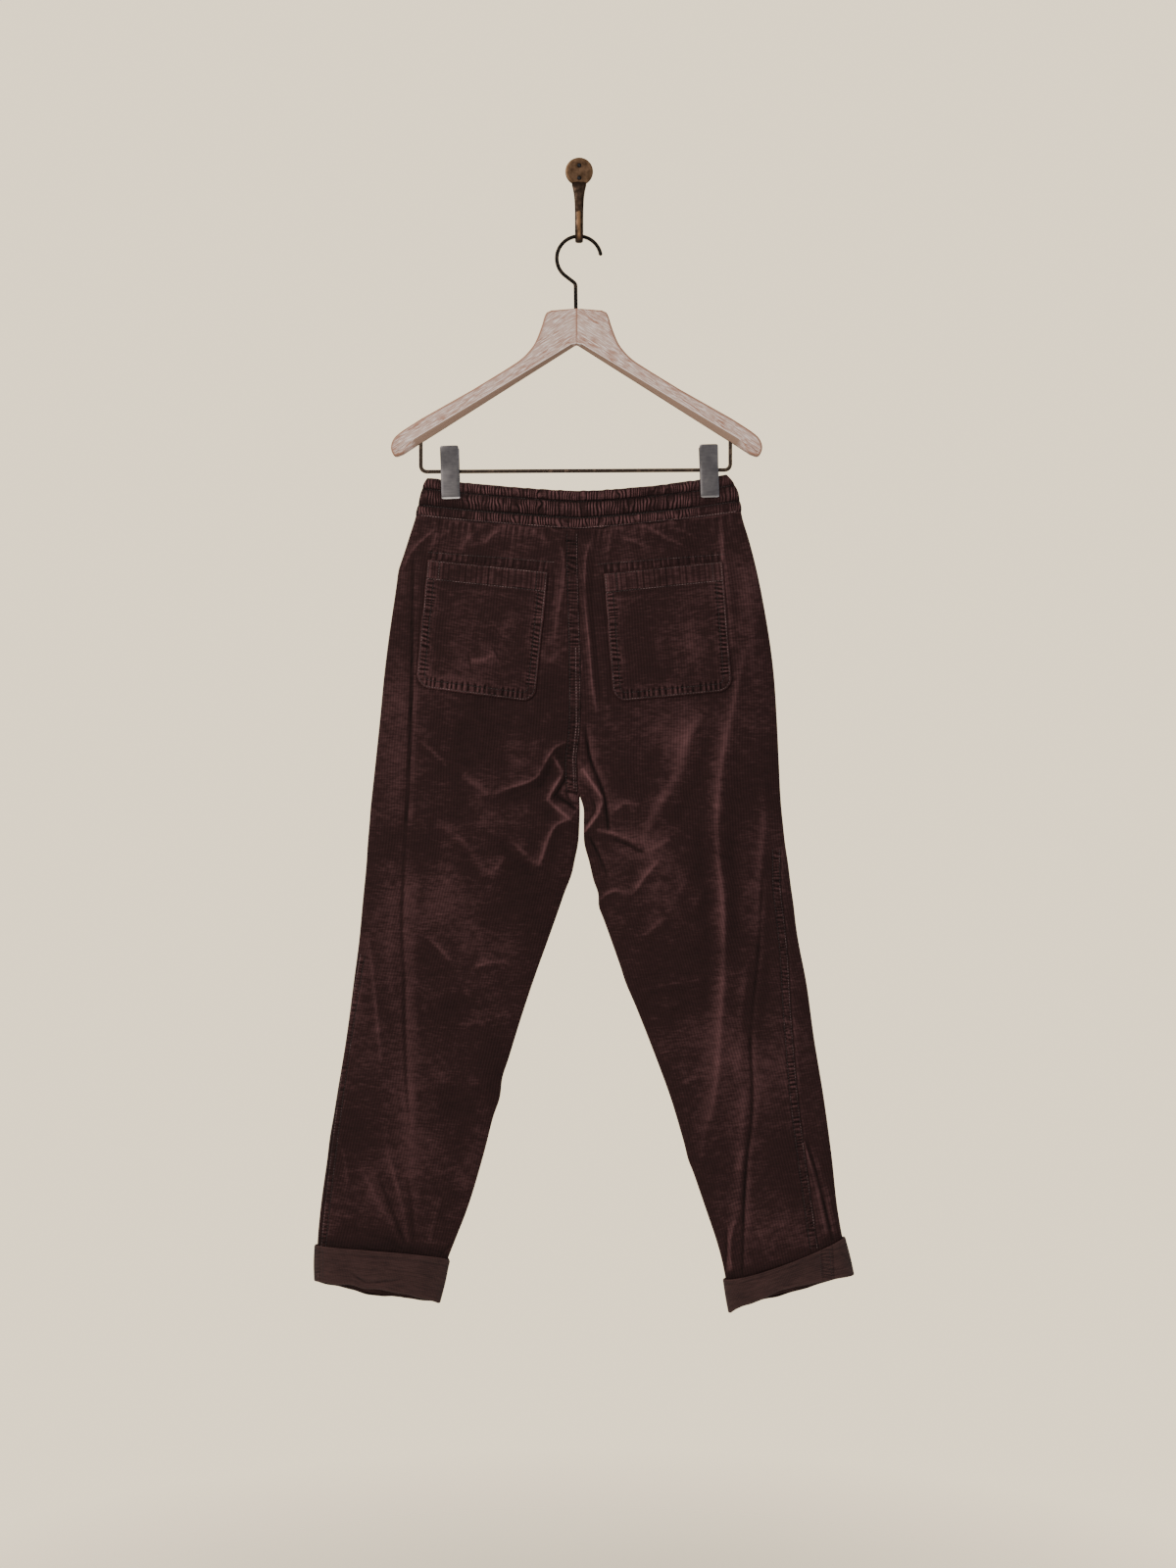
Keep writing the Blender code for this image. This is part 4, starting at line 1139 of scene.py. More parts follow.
@dataclass(frozen=True)
class Needlecord(Finish):
    """Cotton needlecord with a cut pile: fine ribs along the leg and a brushed nap, painted nearly
    black as shade in the troughs and mauve as sheen where it lies over or stands out on a fold."""

    # deep is mostly the painted shade of troughs and brushed mostly the painted sheen of crests; pile is the
    # cloth's own brown
    deep: str = "#120a0a"
    pile: str = "#2d1b1c"
    brushed: str = "#704e51"
    wale: float = 0.0034  # a real rib is 1.6 mm wide, drawn coarser so that it shows

    def dress(self, add: Callable) -> dict:
        """Ribs that wander a little, crushed patches, brushed streaks, painted sheen on crests and painted
        shade in troughs.

        Args:
            add: Adds a node to the material's tree.

        Returns:
            What the shader's inputs get.
        """
        grain = add("UVMap", uv_map="grain")[0]
        bend = add("Mapping", {"Vector": grain, "Scale": (38, 8, 1)})[0]
        bend = add("TexNoise", {"Vector": bend, "Scale": 1.0, "Detail": 2.0})["Color"]
        bend = add("VectorMath", {0: bend, 1: (0.0016, 0, 0)}, operation="MULTIPLY")[0]
        bent = add("VectorMath", {0: grain, 1: bend}, operation="ADD")[0]
        ribs = add("TexWave", {"Vector": bent, "Scale": band_scale(self.wale)})["Fac"]
        # brushed tufts 9 mm wide and 2 mm high, crushed patches 20 mm wide and 8 mm high, and the
        # lie of the nap, which changes over 100 mm
        noises = []
        for scale, own in (
            ((110, 480, 1), {"Detail": 2.5}),
            ((48, 120, 1), {"Detail": 5.0, "Roughness": 0.62, "Distortion": 0.5}),
            ((11, 8, 1), {"Detail": 3.0}),
        ):
            drawn = add("Mapping", {"Vector": grain, "Scale": scale})[0]
            noises.append(add("TexNoise", {"Vector": drawn, "Scale": 1.0, **own})["Fac"])
        tufts, patches, lie = noises
        # the ridge value: painted sheen on crests and painted shade in troughs
        ridge = add("Attribute", attribute_name="ridge")["Fac"]
        tone = -0.525
        for part, weight in ((patches, 0.28), (tufts, 0.35), (lie, 0.42), (ridge, 1.0)):
            tone = add("Math", {0: part, 1: weight, 2: tone}, operation="MULTIPLY_ADD")[0]
        stops = ((0.15, self.deep), (0.5, self.pile), (1.0, self.brushed))
        colour = add("ValToRGB", {"Fac": tone}, stops=stops)[0]
        shade = add("MapRange", {"Value": ribs, "To Min": 0.74, "To Max": 1.12})[0]
        height = ribs
        for part, weight in ((tufts, 1.2), (patches, 1.6)):
            height = add("Math", {0: part, 1: weight, 2: height}, operation="MULTIPLY_ADD")[0]
        return {
            "Base Color": add("VectorMath", {0: colour, "Scale": shade}, operation="SCALE")[0],
            "Normal": add("Bump", {"Height": height, "Strength": 0.7, "Distance": 0.0005})[0],
            "Sheen Weight": 0.28,
            "Sheen Roughness": 0.42,
            "Sheen Tint": linear("#c79a9e"),
            "Specular IOR Level": 0.18,
        }


@dataclass(frozen=True)
class CordBack(Finish):
    """The wrong side of the cord: a flat, dull plain weave with slubs and no nap."""

    warp: str = "#231617"
    weft: str = "#473130"
    thread: float = 0.0019  # real threads are 0.5 mm apart, drawn coarser so that they show

    def dress(self, add: Callable) -> dict:
        """Crossed threads of slightly different browns, slubs along the weft, and painted sheen and shade
        from the ridge value.

        Args:
            add: Adds a node to the material's tree.

        Returns:
            What the shader's inputs get.
        """
        grain = add("UVMap", uv_map="grain")[0]
        threads = {"Vector": grain, "Scale": band_scale(self.thread)}
        upright, level = (add("TexWave", threads, bands_direction=way)["Fac"] for way in "XY")
        weave = add("Math", {0: upright, 1: level}, operation="MULTIPLY")[0]
        slubs = add("Mapping", {"Vector": grain, "Scale": (60, 420, 1)})[0]
        slubs = add("TexNoise", {"Vector": slubs, "Scale": 1.0, "Detail": 4.0})["Fac"]
        patches = add("TexNoise", {"Vector": grain, "Scale": 38.0, "Detail": 4.0})["Fac"]
        # the ridge value: painted highlights along the turn-ups' rims, painted sheen on crests, painted
        # shade in troughs
        rim = add("Attribute", attribute_name="ridge")["Fac"]
        tone = -0.37
        for part, weight in ((rim, 0.6), (slubs, 0.64), (patches, 0.5), (weave, 0.25)):
            tone = add("Math", {0: part, 1: weight, 2: tone}, operation="MULTIPLY_ADD")[0]
        height = add("Math", {0: slubs, 1: 1.0, 2: weave}, operation="MULTIPLY_ADD")[0]
        return {
            "Base Color": add("ValToRGB", {"Fac": tone}, stops=((0.3, self.warp), (0.85, self.weft)))[0],
            "Normal": add("Bump", {"Height": height, "Strength": 0.6, "Distance": 0.0004})[0],
            "Sheen Weight": 0.12,
            "Sheen Roughness": 0.6,
            "Specular IOR Level": 0.12,
        }


@dataclass(frozen=True)
class CoreSpunThread(Finish):
    """Polyester sewing thread, a little paler and glossier than the cord it sinks into."""

    colour: str = "#241719"
    worn: str = "#9a7c7e"
    twist: float = 0.0009

    def dress(self, add: Callable) -> dict:
        """Stitches that differ from each other, and rows that show more than others.

        Args:
            add: Adds a node to the material's tree.

        Returns:
            What the shader's inputs get.
        """
        place = add("TexCoord")["Object"]
        pale = add("Attribute", attribute_name="ridge")["Fac"]
        mixed = add("TexNoise", {"Vector": place, "Scale": 70.0, "Detail": 4.0})["Fac"]
        mixed = add("Math", {0: mixed, 1: pale}, operation="ADD")[0]
        turns = {"Vector": place, "Scale": band_scale(self.twist)}
        twist = add("TexWave", turns, bands_direction="DIAGONAL")["Fac"]
        return {
            "Base Color": add("ValToRGB", {"Fac": mixed}, stops=((0.4, self.colour), (0.9, self.worn)))[0],
            "Normal": add("Bump", {"Height": twist, "Strength": 0.5, "Distance": 0.0002})[0],
        }


@dataclass(frozen=True)
class LimedBeech(Finish):
    """Wire-brushed beech with white lime left in its pores: a lilac-grey face over warm wood,
    which shows orange-brown again where the machined edges were sanded through."""

    face: str = "#cab2a8"
    shadow: str = "#a3745e"
    lime: str = "#f0e6e3"
    edge: str = "#a87c66"
    under: str = "#9c8170"
    grain_width: float = 0.0011
    mitre_at: float = -0.003
    mitre_wide: float = 0.0016

    def dress(self, add: Callable) -> dict:
        """Long grain, limed pores, sanded edges, the glued mitre and a painted highlight along the lower
        chamfer's edge.

        Args:
            add: Adds a node to the material's tree.

        Returns:
            What the shader's inputs get.
        """
        grain = add("UVMap", uv_map="grain")[0]
        long = add("Mapping", {"Vector": grain, "Scale": (26, 1 / (2.4 * self.grain_width), 1)})[0]
        streaks = {"Scale": 1.0, "Detail": 5.0, "Roughness": 0.7, "Distortion": 0.6}
        long = add("TexNoise", {"Vector": long, **streaks})["Fac"]
        blotch = add("TexNoise", {"Vector": grain, "Scale": 60.0, "Detail": 4.0})["Fac"]
        long = add("Math", {0: long, 1: 0.6}, operation="MULTIPLY")[0]
        long = add("Math", {0: blotch, 1: 0.4, 2: long}, operation="MULTIPLY_ADD")[0]
        pores = add("Mapping", {"Vector": grain, "Scale": (80, 1 / self.grain_width, 1)})[0]
        pores = add("TexNoise", {"Vector": pores, "Scale": 1.0, "Detail": 2.0})["Fac"]
        wear = add("Attribute", attribute_name="ridge")["Fac"]
        patchy = add("Math", {0: long, 1: 0.7, 2: -0.35}, operation="MULTIPLY_ADD")[0]
        patchy = add("Math", {0: wear, 1: patchy}, operation="ADD")[0]
        off = add("SeparateXYZ", {0: add("TexCoord")["Object"]})[0]
        off = add("Math", {0: off, 1: -self.mitre_at}, operation="ADD")[0]
        off = add("Math", {0: off}, operation="ABSOLUTE")[0]
        colour = add("ValToRGB", {"Fac": long}, stops=((0.38, self.shadow), (0.54, self.face)))[0]
        # each coat over the ones before: the measure it follows, its range and its colour; last
        # is a painted highlight: a white line along the lower chamfer's edge, where it catches the light
        mitred = {"From Min": 0.0004, "From Max": self.mitre_wide, "To Min": 0.9, "To Max": 0.0}
        coats = (
            (pores, {"From Min": 0.5, "From Max": 0.62, "To Max": 0.9}, self.lime),
            (patchy, {"From Min": 0.5, "From Max": 0.85}, self.edge),
            (off, mitred, self.shadow),
            (wear, {"From Min": 0.35, "From Max": 0.1}, self.under),
            (wear, {"From Min": 1.2, "From Max": 1.4}, self.lime),
        )
        for measure, ends, code in coats:
            share = add("MapRange", {"Value": measure, **ends})[0]
            colour = add("Mix", {0: share, 6: colour, 7: linear(code)}, data_type="RGBA")[2]
        height = add("Math", {0: pores, 1: long}, operation="ADD")[0]
        return {
            "Base Color": colour,
            "Normal": add("Bump", {"Height": height, "Strength": 0.45, "Distance": 0.0005})[0],
        }


@dataclass(frozen=True)
class LacqueredSteel(Finish):
    """Drawn steel wire dipped in black lacquer, rubbed through to brown in places."""

    lacquer: str = "#14110f"
    rubbed: str = "#3a2f28"

    def dress(self, add: Callable) -> dict:
        """Small rubbed spots and the lacquer's uneven skin.

        Args:
            add: Adds a node to the material's tree.

        Returns:
            What the shader's inputs get.
        """
        place = add("TexCoord")["Object"]
        spots = add("TexNoise", {"Vector": place, "Scale": 240.0, "Detail": 4.0})["Fac"]
        stops = ((0.52, self.lacquer), (0.72, self.rubbed))
        return {
            "Base Color": add("ValToRGB", {"Fac": spots}, stops=stops)[0],
            "Normal": add("Bump", {"Height": spots, "Strength": 0.25, "Distance": 0.0002})[0],
            "Specular IOR Level": 0.12,
        }


@dataclass(frozen=True)
class GunmetalPlate(Finish):
    """Spring steel, pressed and plated in gunmetal: a dark grey mirror with brushed lines and
    handling marks, and a painted highlight along the lip's lower edge."""

    dark: str = "#616065"
    bright: str = "#777679"
    # cut is the colour of the painted highlight along the lip's lower edge
    cut: str = "#f6f4f2"
    brush: float = 0.0007

    def dress(self, add: Callable) -> dict:
        """Brushed lines across the plate, smudges, roughness that follows them, and the painted highlight on
        the lip.

        Args:
            add: Adds a node to the material's tree.

        Returns:
            What the shader's inputs get.
        """
        place = add("TexCoord")["Object"]
        lines = add("Mapping", {"Vector": place, "Scale": (60, 60, 1 / self.brush)})[0]
        lines = add("TexNoise", {"Vector": lines, "Scale": 1.0, "Detail": 2.0})["Fac"]
        smudge = add("TexNoise", {"Vector": place, "Scale": 120.0, "Detail": 3.0})["Fac"]
        tone = 0.0
        for part in (lines, smudge):
            tone = add("Math", {0: part, 1: 0.5, 2: tone}, operation="MULTIPLY_ADD")[0]
        colour = add("ValToRGB", {"Fac": tone}, stops=((0.35, self.dark), (0.65, self.bright)))[0]
        # the ridge value: the painted highlight along the lip's lower edge
        edge = add("Attribute", attribute_name="ridge")["Fac"]
        gloss = {"From Min": 0.3, "From Max": 0.7, "To Min": 0.42, "To Max": 0.55}
        return {
            "Base Color": add("Mix", {0: edge, 6: colour, 7: linear(self.cut)}, data_type="RGBA")[2],
            "Roughness": add("MapRange", {"Value": tone, **gloss})[0],
            "Normal": add("Bump", {"Height": lines, "Strength": 0.12, "Distance": 0.0002})[0],
        }


@dataclass(frozen=True)
class AgedBrass(Finish):
    """Sand-cast brass with a brown patina, rubbed back to bronze in places, and a bronze painted highlight
    down the front of the J's tip.
    """

    patina: str = "#30261f"
    brown: str = "#584940"
    rubbed: str = "#b08a66"
    sand: float = 0.0008  # the casting's grit

    def dress(self, add: Callable) -> dict:
        """Blotched patina, the sand's grit, and the rubbed places, which carry a painted highlight on the
        J's front.

        Args:
            add: Adds a node to the material's tree.

        Returns:
            What the shader's inputs get.
        """
        place = add("TexCoord")["Object"]
        blotch = add("TexNoise", {"Vector": place, "Scale": 150.0, "Detail": 5.0})["Fac"]
        grit = add("TexNoise", {"Vector": place, "Scale": 1 / self.sand, "Detail": 2.0})["Fac"]
        # the ridge value: rubbing, and a painted highlight down the front of the J's tip
        worn = add("Attribute", attribute_name="ridge")["Fac"]
        colour = add("ValToRGB", {"Fac": blotch}, stops=((0.35, self.patina), (0.7, self.brown)))[0]
        share = add("Math", {0: blotch, 1: 0.5, 2: -0.25}, operation="MULTIPLY_ADD")[0]
        share = add("Math", {0: worn, 1: share}, operation="ADD", use_clamp=True)[0]
        return {
            "Base Color": add("Mix", {0: share, 6: colour, 7: linear(self.rubbed)}, data_type="RGBA")[2],
            "Roughness": add("MapRange", {"Value": share, "To Min": 0.5, "To Max": 0.3})[0],
            "Normal": add("Bump", {"Height": grit, "Strength": 0.3, "Distance": 0.0003})[0],
        }


@dataclass(frozen=True)
class PaintedFloor(Finish):
    """A pale, matt painted floor that fades out around the part."""

    colour: str = "#f6eee0"
    fade_from: float = 0.2
    fade_to: float = 1.35

    def dress(self, add: Callable) -> dict:
        """Faint unevenness, and the fade.

        Args:
            add: Adds a node to the material's tree.

        Returns:
            What the shader's inputs get.
        """
        place = add("TexCoord")["Object"]
        uneven = add("TexNoise", {"Vector": place, "Scale": 3.0, "Detail": 2.0})["Fac"]
        shade = add("MapRange", {"Value": uneven, "To Min": 0.96, "To Max": 1.02})[0]
        plain = linear(self.colour)[:3]
        away = add("VectorMath", {0: place}, operation="LENGTH")["Value"]
        fade = {"From Min": self.fade_from, "From Max": self.fade_to, "To Min": 1.0, "To Max": 0.0}
        return {
            "Base Color": add("VectorMath", {0: plain, "Scale": shade}, operation="SCALE")[0],
            "Alpha": add("MapRange", {"Value": away, **fade})[0],
        }


NEEDLECORD = Needlecord("needlecord_cut_pile_cotton", 0.9)
CORD_BACK = CordBack("needlecord_woven_wrong_side", 0.95)
THREAD = CoreSpunThread("polyester_core_spun_thread", 0.6)
BEECH = LimedBeech("limed_wire_brushed_beech", 0.62)
LACQUER = LacqueredSteel("black_lacquered_steel_wire", 0.6)
BAR_LACQUER = LacqueredSteel("worn_lacquered_steel_wire", 0.6, lacquer="#39302a", rubbed="#66564b")
GUNMETAL = GunmetalPlate("gunmetal_plated_spring_steel", 0.35, 1.0)
BRASS = AgedBrass("sand_cast_aged_brass", 0.45, 1.0)
SCREW = AgedBrass("blued_screw_steel", 0.4, 1.0, patina="#1d2024", brown="#34373c", rubbed="#57585c")
FLOOR = PaintedFloor("matt_painted_floor", 0.85)


# ---------------------------------------------------------------- the trousers
# how much higher in its middle the back of a hem hangs than its ends, and how much lower its front
HEM_RAISE = {
    (Side.LEFT, Face.BACK): 3.0,
    (Side.LEFT, Face.FRONT): -10.0,
    (Side.RIGHT, Face.BACK): 4.0,
    (Side.RIGHT, Face.FRONT): -6.0,
}


def hem_rise(side: Side, face: Face, s: Array) -> Array:
    """How far half of a hem is drawn up in its middle: the front half shows below the back."""
    return HEM_RAISE[side, face] * np.sin(math.pi * s) ** 0.7


@dataclass
class PatchPocket:
    """A patch pocket on a back leg: banded top, rounded lower corners, two rows of stitches."""

    side: Side
    top_left: Point
    top_right: Point
    bottom_left: Point
    bottom_right: Point
    corner: float = 17.0
    band: float = 24.0
    columns: int = 140
    rows: tuple[int, int] = (124, 26)
    edge_stitch: float = 2.2
    inner_stitch: float = 9.8

    @property
    def name(self) -> str:
        """The node it stands for."""
        return f"pocket_{self.side.value}"

    @property
    def wide(self) -> float:
        """Its width."""
        return math.dist(self.top_left, self.top_right)

    @property
    def tall(self) -> float:
        """Its height."""
        return math.dist(self.top_left, self.bottom_left)

    def place(self, aside: Array, down: Array) -> tuple[Array, Array]:
        """Where points of the flat pocket lie.

        Args:
            aside, down: Their distances from its left and top edges.

        Returns:
            How far across and below they are.
        """
        t, share = aside / self.wide, down / self.tall
        found = []
        for a, b, c, d in zip(self.top_left, self.top_right, self.bottom_left, self.bottom_right):
            found.append(a + (b - a) * t + (c - a) * share + (d - b - c + a) * t * share)
        return found[0], found[1]

    def inverse(self, across: Array, below: Array) -> tuple[Array, Array]:
        """Where points of the leg lie on the flat pocket.

        Args:
            across, below: The points.

        Returns:
            Their distances from its left and top edges.
        """
        aside, down = np.zeros(across.shape), np.zeros(across.shape)
        origin = np.array(self.place(0, 0))
        sideways = (np.array(self.place(self.wide, 0)) - origin) / self.wide
        downward = (np.array(self.place(0, self.tall)) - origin) / self.tall
        back = np.linalg.inv(np.stack([sideways, downward], axis=1))
        for _ in range(3):
            x, y = self.place(aside, down)
            aside = aside + back[0, 0] * (across - x) + back[0, 1] * (below - y)
            down = down + back[1, 0] * (across - x) + back[1, 1] * (below - y)
        return aside, down

    def from_edge(self, aside: Array, down: Array) -> Array:
        """How far inside the pocket's sides and foot points are, with its rounded corners.

        Args:
            aside, down: Their distances from its left and top edges.

        Returns:
            The distance, under 0 outside.
        """
        near, foot = np.minimum(aside, self.wide - aside), self.tall - down
        round_off = self.corner - np.hypot(self.corner - near, self.corner - foot)
        return np.where((near < self.corner) & (foot < self.corner), round_off, np.minimum(near, foot))

    def pucker(self, aside: Array, down: Array) -> Array:
        """The narrow tucks that the edge stitches draw up, square to the edge.

        Args:
            aside, down: Distances from the pocket's left and top edges.

        Returns:
            Their height, from 0 to -1.
        """
        near, foot = np.minimum(aside, self.wide - aside), self.tall - down
        low = as_shares((near - foot) / 10 + 0.5)
        upright = ruched(down / 5.2 + 0.8 * value_noise(down / 11, aside / 30, 31))
        level = ruched(aside / 6.4 + 0.9 * value_noise(aside / 12, 0.5, 32))
        deep = 0.65 + 0.45 * value_noise(down / 6, aside / 9, 34)
        return -deep * (1 - (upright * (1 - low) + level * low)) ** 1.3

    def under(self, across: Array, below: Array) -> tuple[Array, Array]:
        """What the pocket does to its leg.

        Args:
            across, below: Points of the leg.

        Returns:
            How far it covers them, and the height of the puckers just outside it.
        """
        aside, down = self.inverse(across, below)
        inside = np.minimum(self.from_edge(aside, down), down)
        outside = as_shares(1 + inside / 7) * as_shares(-inside / 1.5)
        tucks = ruched(aside / 6.0 + 0.9 * value_noise(aside / 10, 0.5, 39)) - 1
        above = as_shares((down + 12) / 2) * as_shares(-down / 2)
        above = above * as_shares((aside + 2) / 4) * as_shares((self.wide + 2 - aside) / 4)
        return as_shares((inside + 5) / 7), 0.5 * outside * self.pucker(aside, down) + 1.3 * above * tucks

    def relief(self, aside: Array, down: Array, across: Array, below: Array) -> tuple[Array, Array]:
        """What lifts the pocket's outside.

        Args:
            aside, down: Distances from its left and top edges.
            across, below: The same points, as seen from the room.

        Returns:
            The height over a plain pocket, and the tone of its creases.
        """
        edge = self.from_edge(aside, down)
        uneven = 2.2 * value_noise(down / 5, aside / 5, 37)
        strip = as_shares((edge - 1.5) / 3) * as_shares((14.5 + uneven - edge) / 5)
        strip = strip * as_shares((down - self.band + 4) / 6)
        total = strip * (2.5 * self.pucker(aside, down) - 0.1)
        lines = [(edge, self.edge_stitch, 0.35), (edge, self.inner_stitch, 0.35)]
        lines += [(down, self.band - 1.6, 0.8)]
        for away, at, depth in lines:
            total -= depth * bell(away - at)
        banded = 1 - as_shares((down - self.band + 0.8) / 1.6)
        total += 0.8 * banded
        tucks = ruched(aside / 7.5 + 0.9 * value_noise(aside / 13, 0.5, 33))
        total -= banded * (0.6 + 0.4 * value_noise(aside / 9, 0.5, 38)) * (1 - tucks) ** 1.8
        for away in (aside - 15, self.wide - 13 - aside):
            total -= banded * 0.45 * bell(away / 0.9)
        body = as_shares((edge - 6) / 12) * as_shares((down - self.band) / 10)
        lift, tone = crease_relief(self.name, across, below)
        total += body * (1.1 + 0.5 * rumple(across, below, 40 + self.corner_seed) + lift)
        total -= 0.9 * bell(edge / 0.9) + 0.5 * bell(down / 0.8)
        return total, tone

    @property
    def corner_seed(self) -> int:
        """A seed of its own."""
        return 10 if self.side is Side.RIGHT else 0

    def build(self, leg: Object) -> Object:
        """Makes the pocket on its leg.

        Args:
            leg: The back leg that it lies on.

        Returns:
            The pocket's object.
        """
        tree = surface_of([leg])
        straight, turned = self.rows
        turn = np.radians(np.linspace(0, 90, turned + 1)[1:])
        low = self.tall - self.corner
        rounded = self.tall - self.corner * (1 - np.sin(turn))
        downs = np.concatenate([np.linspace(0, low, straight + 1), rounded])
        over = np.maximum(downs - low, 0)
        draw_in = self.corner - np.sqrt(np.maximum(self.corner**2 - over**2, 0))
        t = np.linspace(0, 1, self.columns + 1)
        aside = draw_in[:, None] + (self.wide - 2 * draw_in[:, None]) * t
        down = np.broadcast_to(downs[:, None], aside.shape)
        wobble = 0.5 * value_noise(down / 18, aside / 200, 35)
        across, below = self.place(aside + wobble, down + 0.4 * value_noise(aside / 20, down / 200, 36))
        out = np.empty(across.shape)
        for place in np.ndindex(across.shape):
            out[place] = seen_from_room(tree, across[place], below[place])[0].y
        out = blurred(out, 2)
        relief, tone = self.relief(aside, down, across, below)
        points = np.stack([across * MM, out - (2.05 + relief) * MM, -below * MM], axis=-1)
        grain = np.stack([aside, down], axis=-1) * MM + CUT_APART * (9 + self.corner_seed)
        # painted sheen and shade from the relief
        dress = [grain, painted_sheen_and_shade(relief, tone, 0.8)]
        made = cloth_shell("cord_" + self.name, points, 0.9, Face.BACK, dress, [NEEDLECORD, CORD_BACK])
        leg.name
        return declare(made, "cord_cloth", self.name)

    def stitch_lines(self) -> list[Array]:
        """Its rows of stitches.

        Returns:
            Lines of (across, below).
        """
        lines = []
        for inset in (self.edge_stitch, self.inner_stitch):
            arc = np.radians(np.linspace(0, 90, 8))
            radius, low = self.corner - inset, self.tall - self.corner
            left = np.stack([self.corner - radius * np.cos(arc), low + radius * np.sin(arc)], axis=1)
            right = np.stack([self.wide - left[::-1, 0], left[::-1, 1]], axis=1)
            top = 2.0 if inset == self.edge_stitch else self.band
            flat = np.vstack([[(inset, top)], left, right, [(self.wide - inset, top)]])
            lines.append(np.stack(self.place(flat[:, 0], flat[:, 1]), axis=1))
        low = self.band - 1.6
        ends = [((2, low), (self.wide - 2, low)), ((15, 1), (15, low))]
        ends += [((self.wide - 13, 1), (self.wide - 13, low)), ((2, 1.2), (self.wide - 2, 1.2))]
        for start, end in ends:
            flat = np.array([start, end], float)
            lines.append(np.stack(self.place(flat[:, 0], flat[:, 1]), axis=1))
        return lines


POCKETS = {
    Side.LEFT: PatchPocket(Side.LEFT, (-180.5, 470.5), (-36.5, 486.0), (-194.5, 622.0), (-52.5, 641.0)),
    Side.RIGHT: PatchPocket(Side.RIGHT, (29.0, 488.0), (171.0, 472.5), (40.5, 640.5), (182.5, 627.0)),
}


def surface_of(pieces: list[Object]) -> BVHTree:
    """Finds where a straight line meets any of some pieces.

    Args:
        pieces: The pieces.

    Returns:
        The tree that finds it.
    """
    points, faces = [], []
    for piece in pieces:
        start = len(points)
        points += [v.co.copy() for v in piece.data.vertices]
        faces += [tuple(start + k for k in f.vertices) for f in piece.data.polygons]
    return BVHTree.FromPolygons(points, faces)


def seen_from_room(tree: BVHTree, across: float, below: float) -> tuple[Vector, Vector]:
    """The nearest surface to the room at a place.

    Args:
        tree: The surfaces.
        across, below: The place.

    Returns:
        The point in metres, and which way the surface faces.
    """
    hit, normal, _, _ = tree.ray_cast((across * MM, -1.0, -below * MM), (0.0, 1.0, 0.0))
    if hit is None:
        hit, normal, _, _ = tree.find_nearest((across * MM, (HANG - 10) * MM, -below * MM))
    return hit, normal


@dataclass
class LegPanel:
    """One of the four panels of the legs, from the waistband's seam to the fold of the hem."""

    side: Side
    face: Face
    number: int
    columns: int
    rows: tuple[int, int]
    flat: tuple[float, float]
    area: float
    tucked_rows: int = 2  # those that run up inside the waistband

    @property
    def name(self) -> str:
        """The node it stands for."""
        return f"{self.face.word}_{self.side.value}"

    def relief(self, s: Array, across: Array, below: Array) -> tuple[Array, Array]:
        """Everything that lifts the cloth off the smooth form.

        Args:
            s: Shares from the outseam to the centre or inseam.
            across, below: The panel's points.

        Returns:
            Their height, and the painted tone: painted sheen and shade of the creases and seams, and painted
                shade by the turn-up.
        """
        lift, tone = crease_relief(self.name, across, below)
        total = lift + rumple(across, below, 50 + 10 * self.number)
        fall = below - below[self.tucked_rows]
        if self.face is Face.BACK:
            covered, puckers = POCKETS[self.side].under(across, below)
            total = total * (1 - 0.85 * covered) + puckers
            tone = tone * (1 - covered)
        seams, shade = seam_relief(self.name, across, below)
        tone = tone + shade
        total += gather_relief(across, fall, 90 + self.number) + seams
        total = total * as_shares(fall / 4) - 0.4 * bell(fall / 1.5) - 0.8 * as_shares(-fall / 1.5)
        cuff = FORM.flat(self.side, s, FORM.rows(self.side, [(CUFF_TOP, 0)]))[1]
        inside = as_shares((below - cuff - 1) / 6)
        tone = tone - 0.16 * as_shares((below - cuff + 16) / 14)  # painted shade from 16 mm above the turn-up's top down under it
        return total * (1 - inside) + np.clip(total, -4, 1.2) * inside, tone

    def build(self) -> Object:
        """Makes the panel.

        Returns:
            Its object.
        """
        s = column_shares(self.columns)
        seat, leg = self.rows
        stops = [(TUCKED, self.tucked_rows), (WAIST_SEAM, seat), (CROTCH, leg), (HEM, 0)]
        rows = FORM.rows(self.side, stops)
        across, below = FORM.flat(self.side, s, rows)
        relief, tone = self.relief(s, across, below)
        plain = FORM.grid(self.side, self.face, s, rows)
        outer = FORM.grid(self.side, self.face, s, rows, relief)
        cuff = FORM.flat(self.side, s, FORM.rows(self.side, [(CUFF_TOP, 0)]))[1]
        share = np.clip((below - cuff) / (below[-1:] - cuff), 0, 1)
        outer[..., 2] += hem_rise(self.side, self.face, s) * share * MM
        outer[..., 2] += seam_wave(across) * bell((below - below[self.tucked_rows]) / 9.0) * MM
        # painted light and shade by which way the relief faces, then painted sheen and shade from the relief
        tone = tone + 0.24 * painted_light_from_upper_left(relief, across, below, self.face)
        dress = [grain_of(plain, self.number), painted_sheen_and_shade(relief, tone, 0.42)]
        made = cloth_shell("cord_" + self.name, outer, CLOTH, self.face, dress, [NEEDLECORD, CORD_BACK])
        return declare(made, "cord_cloth", self.name)


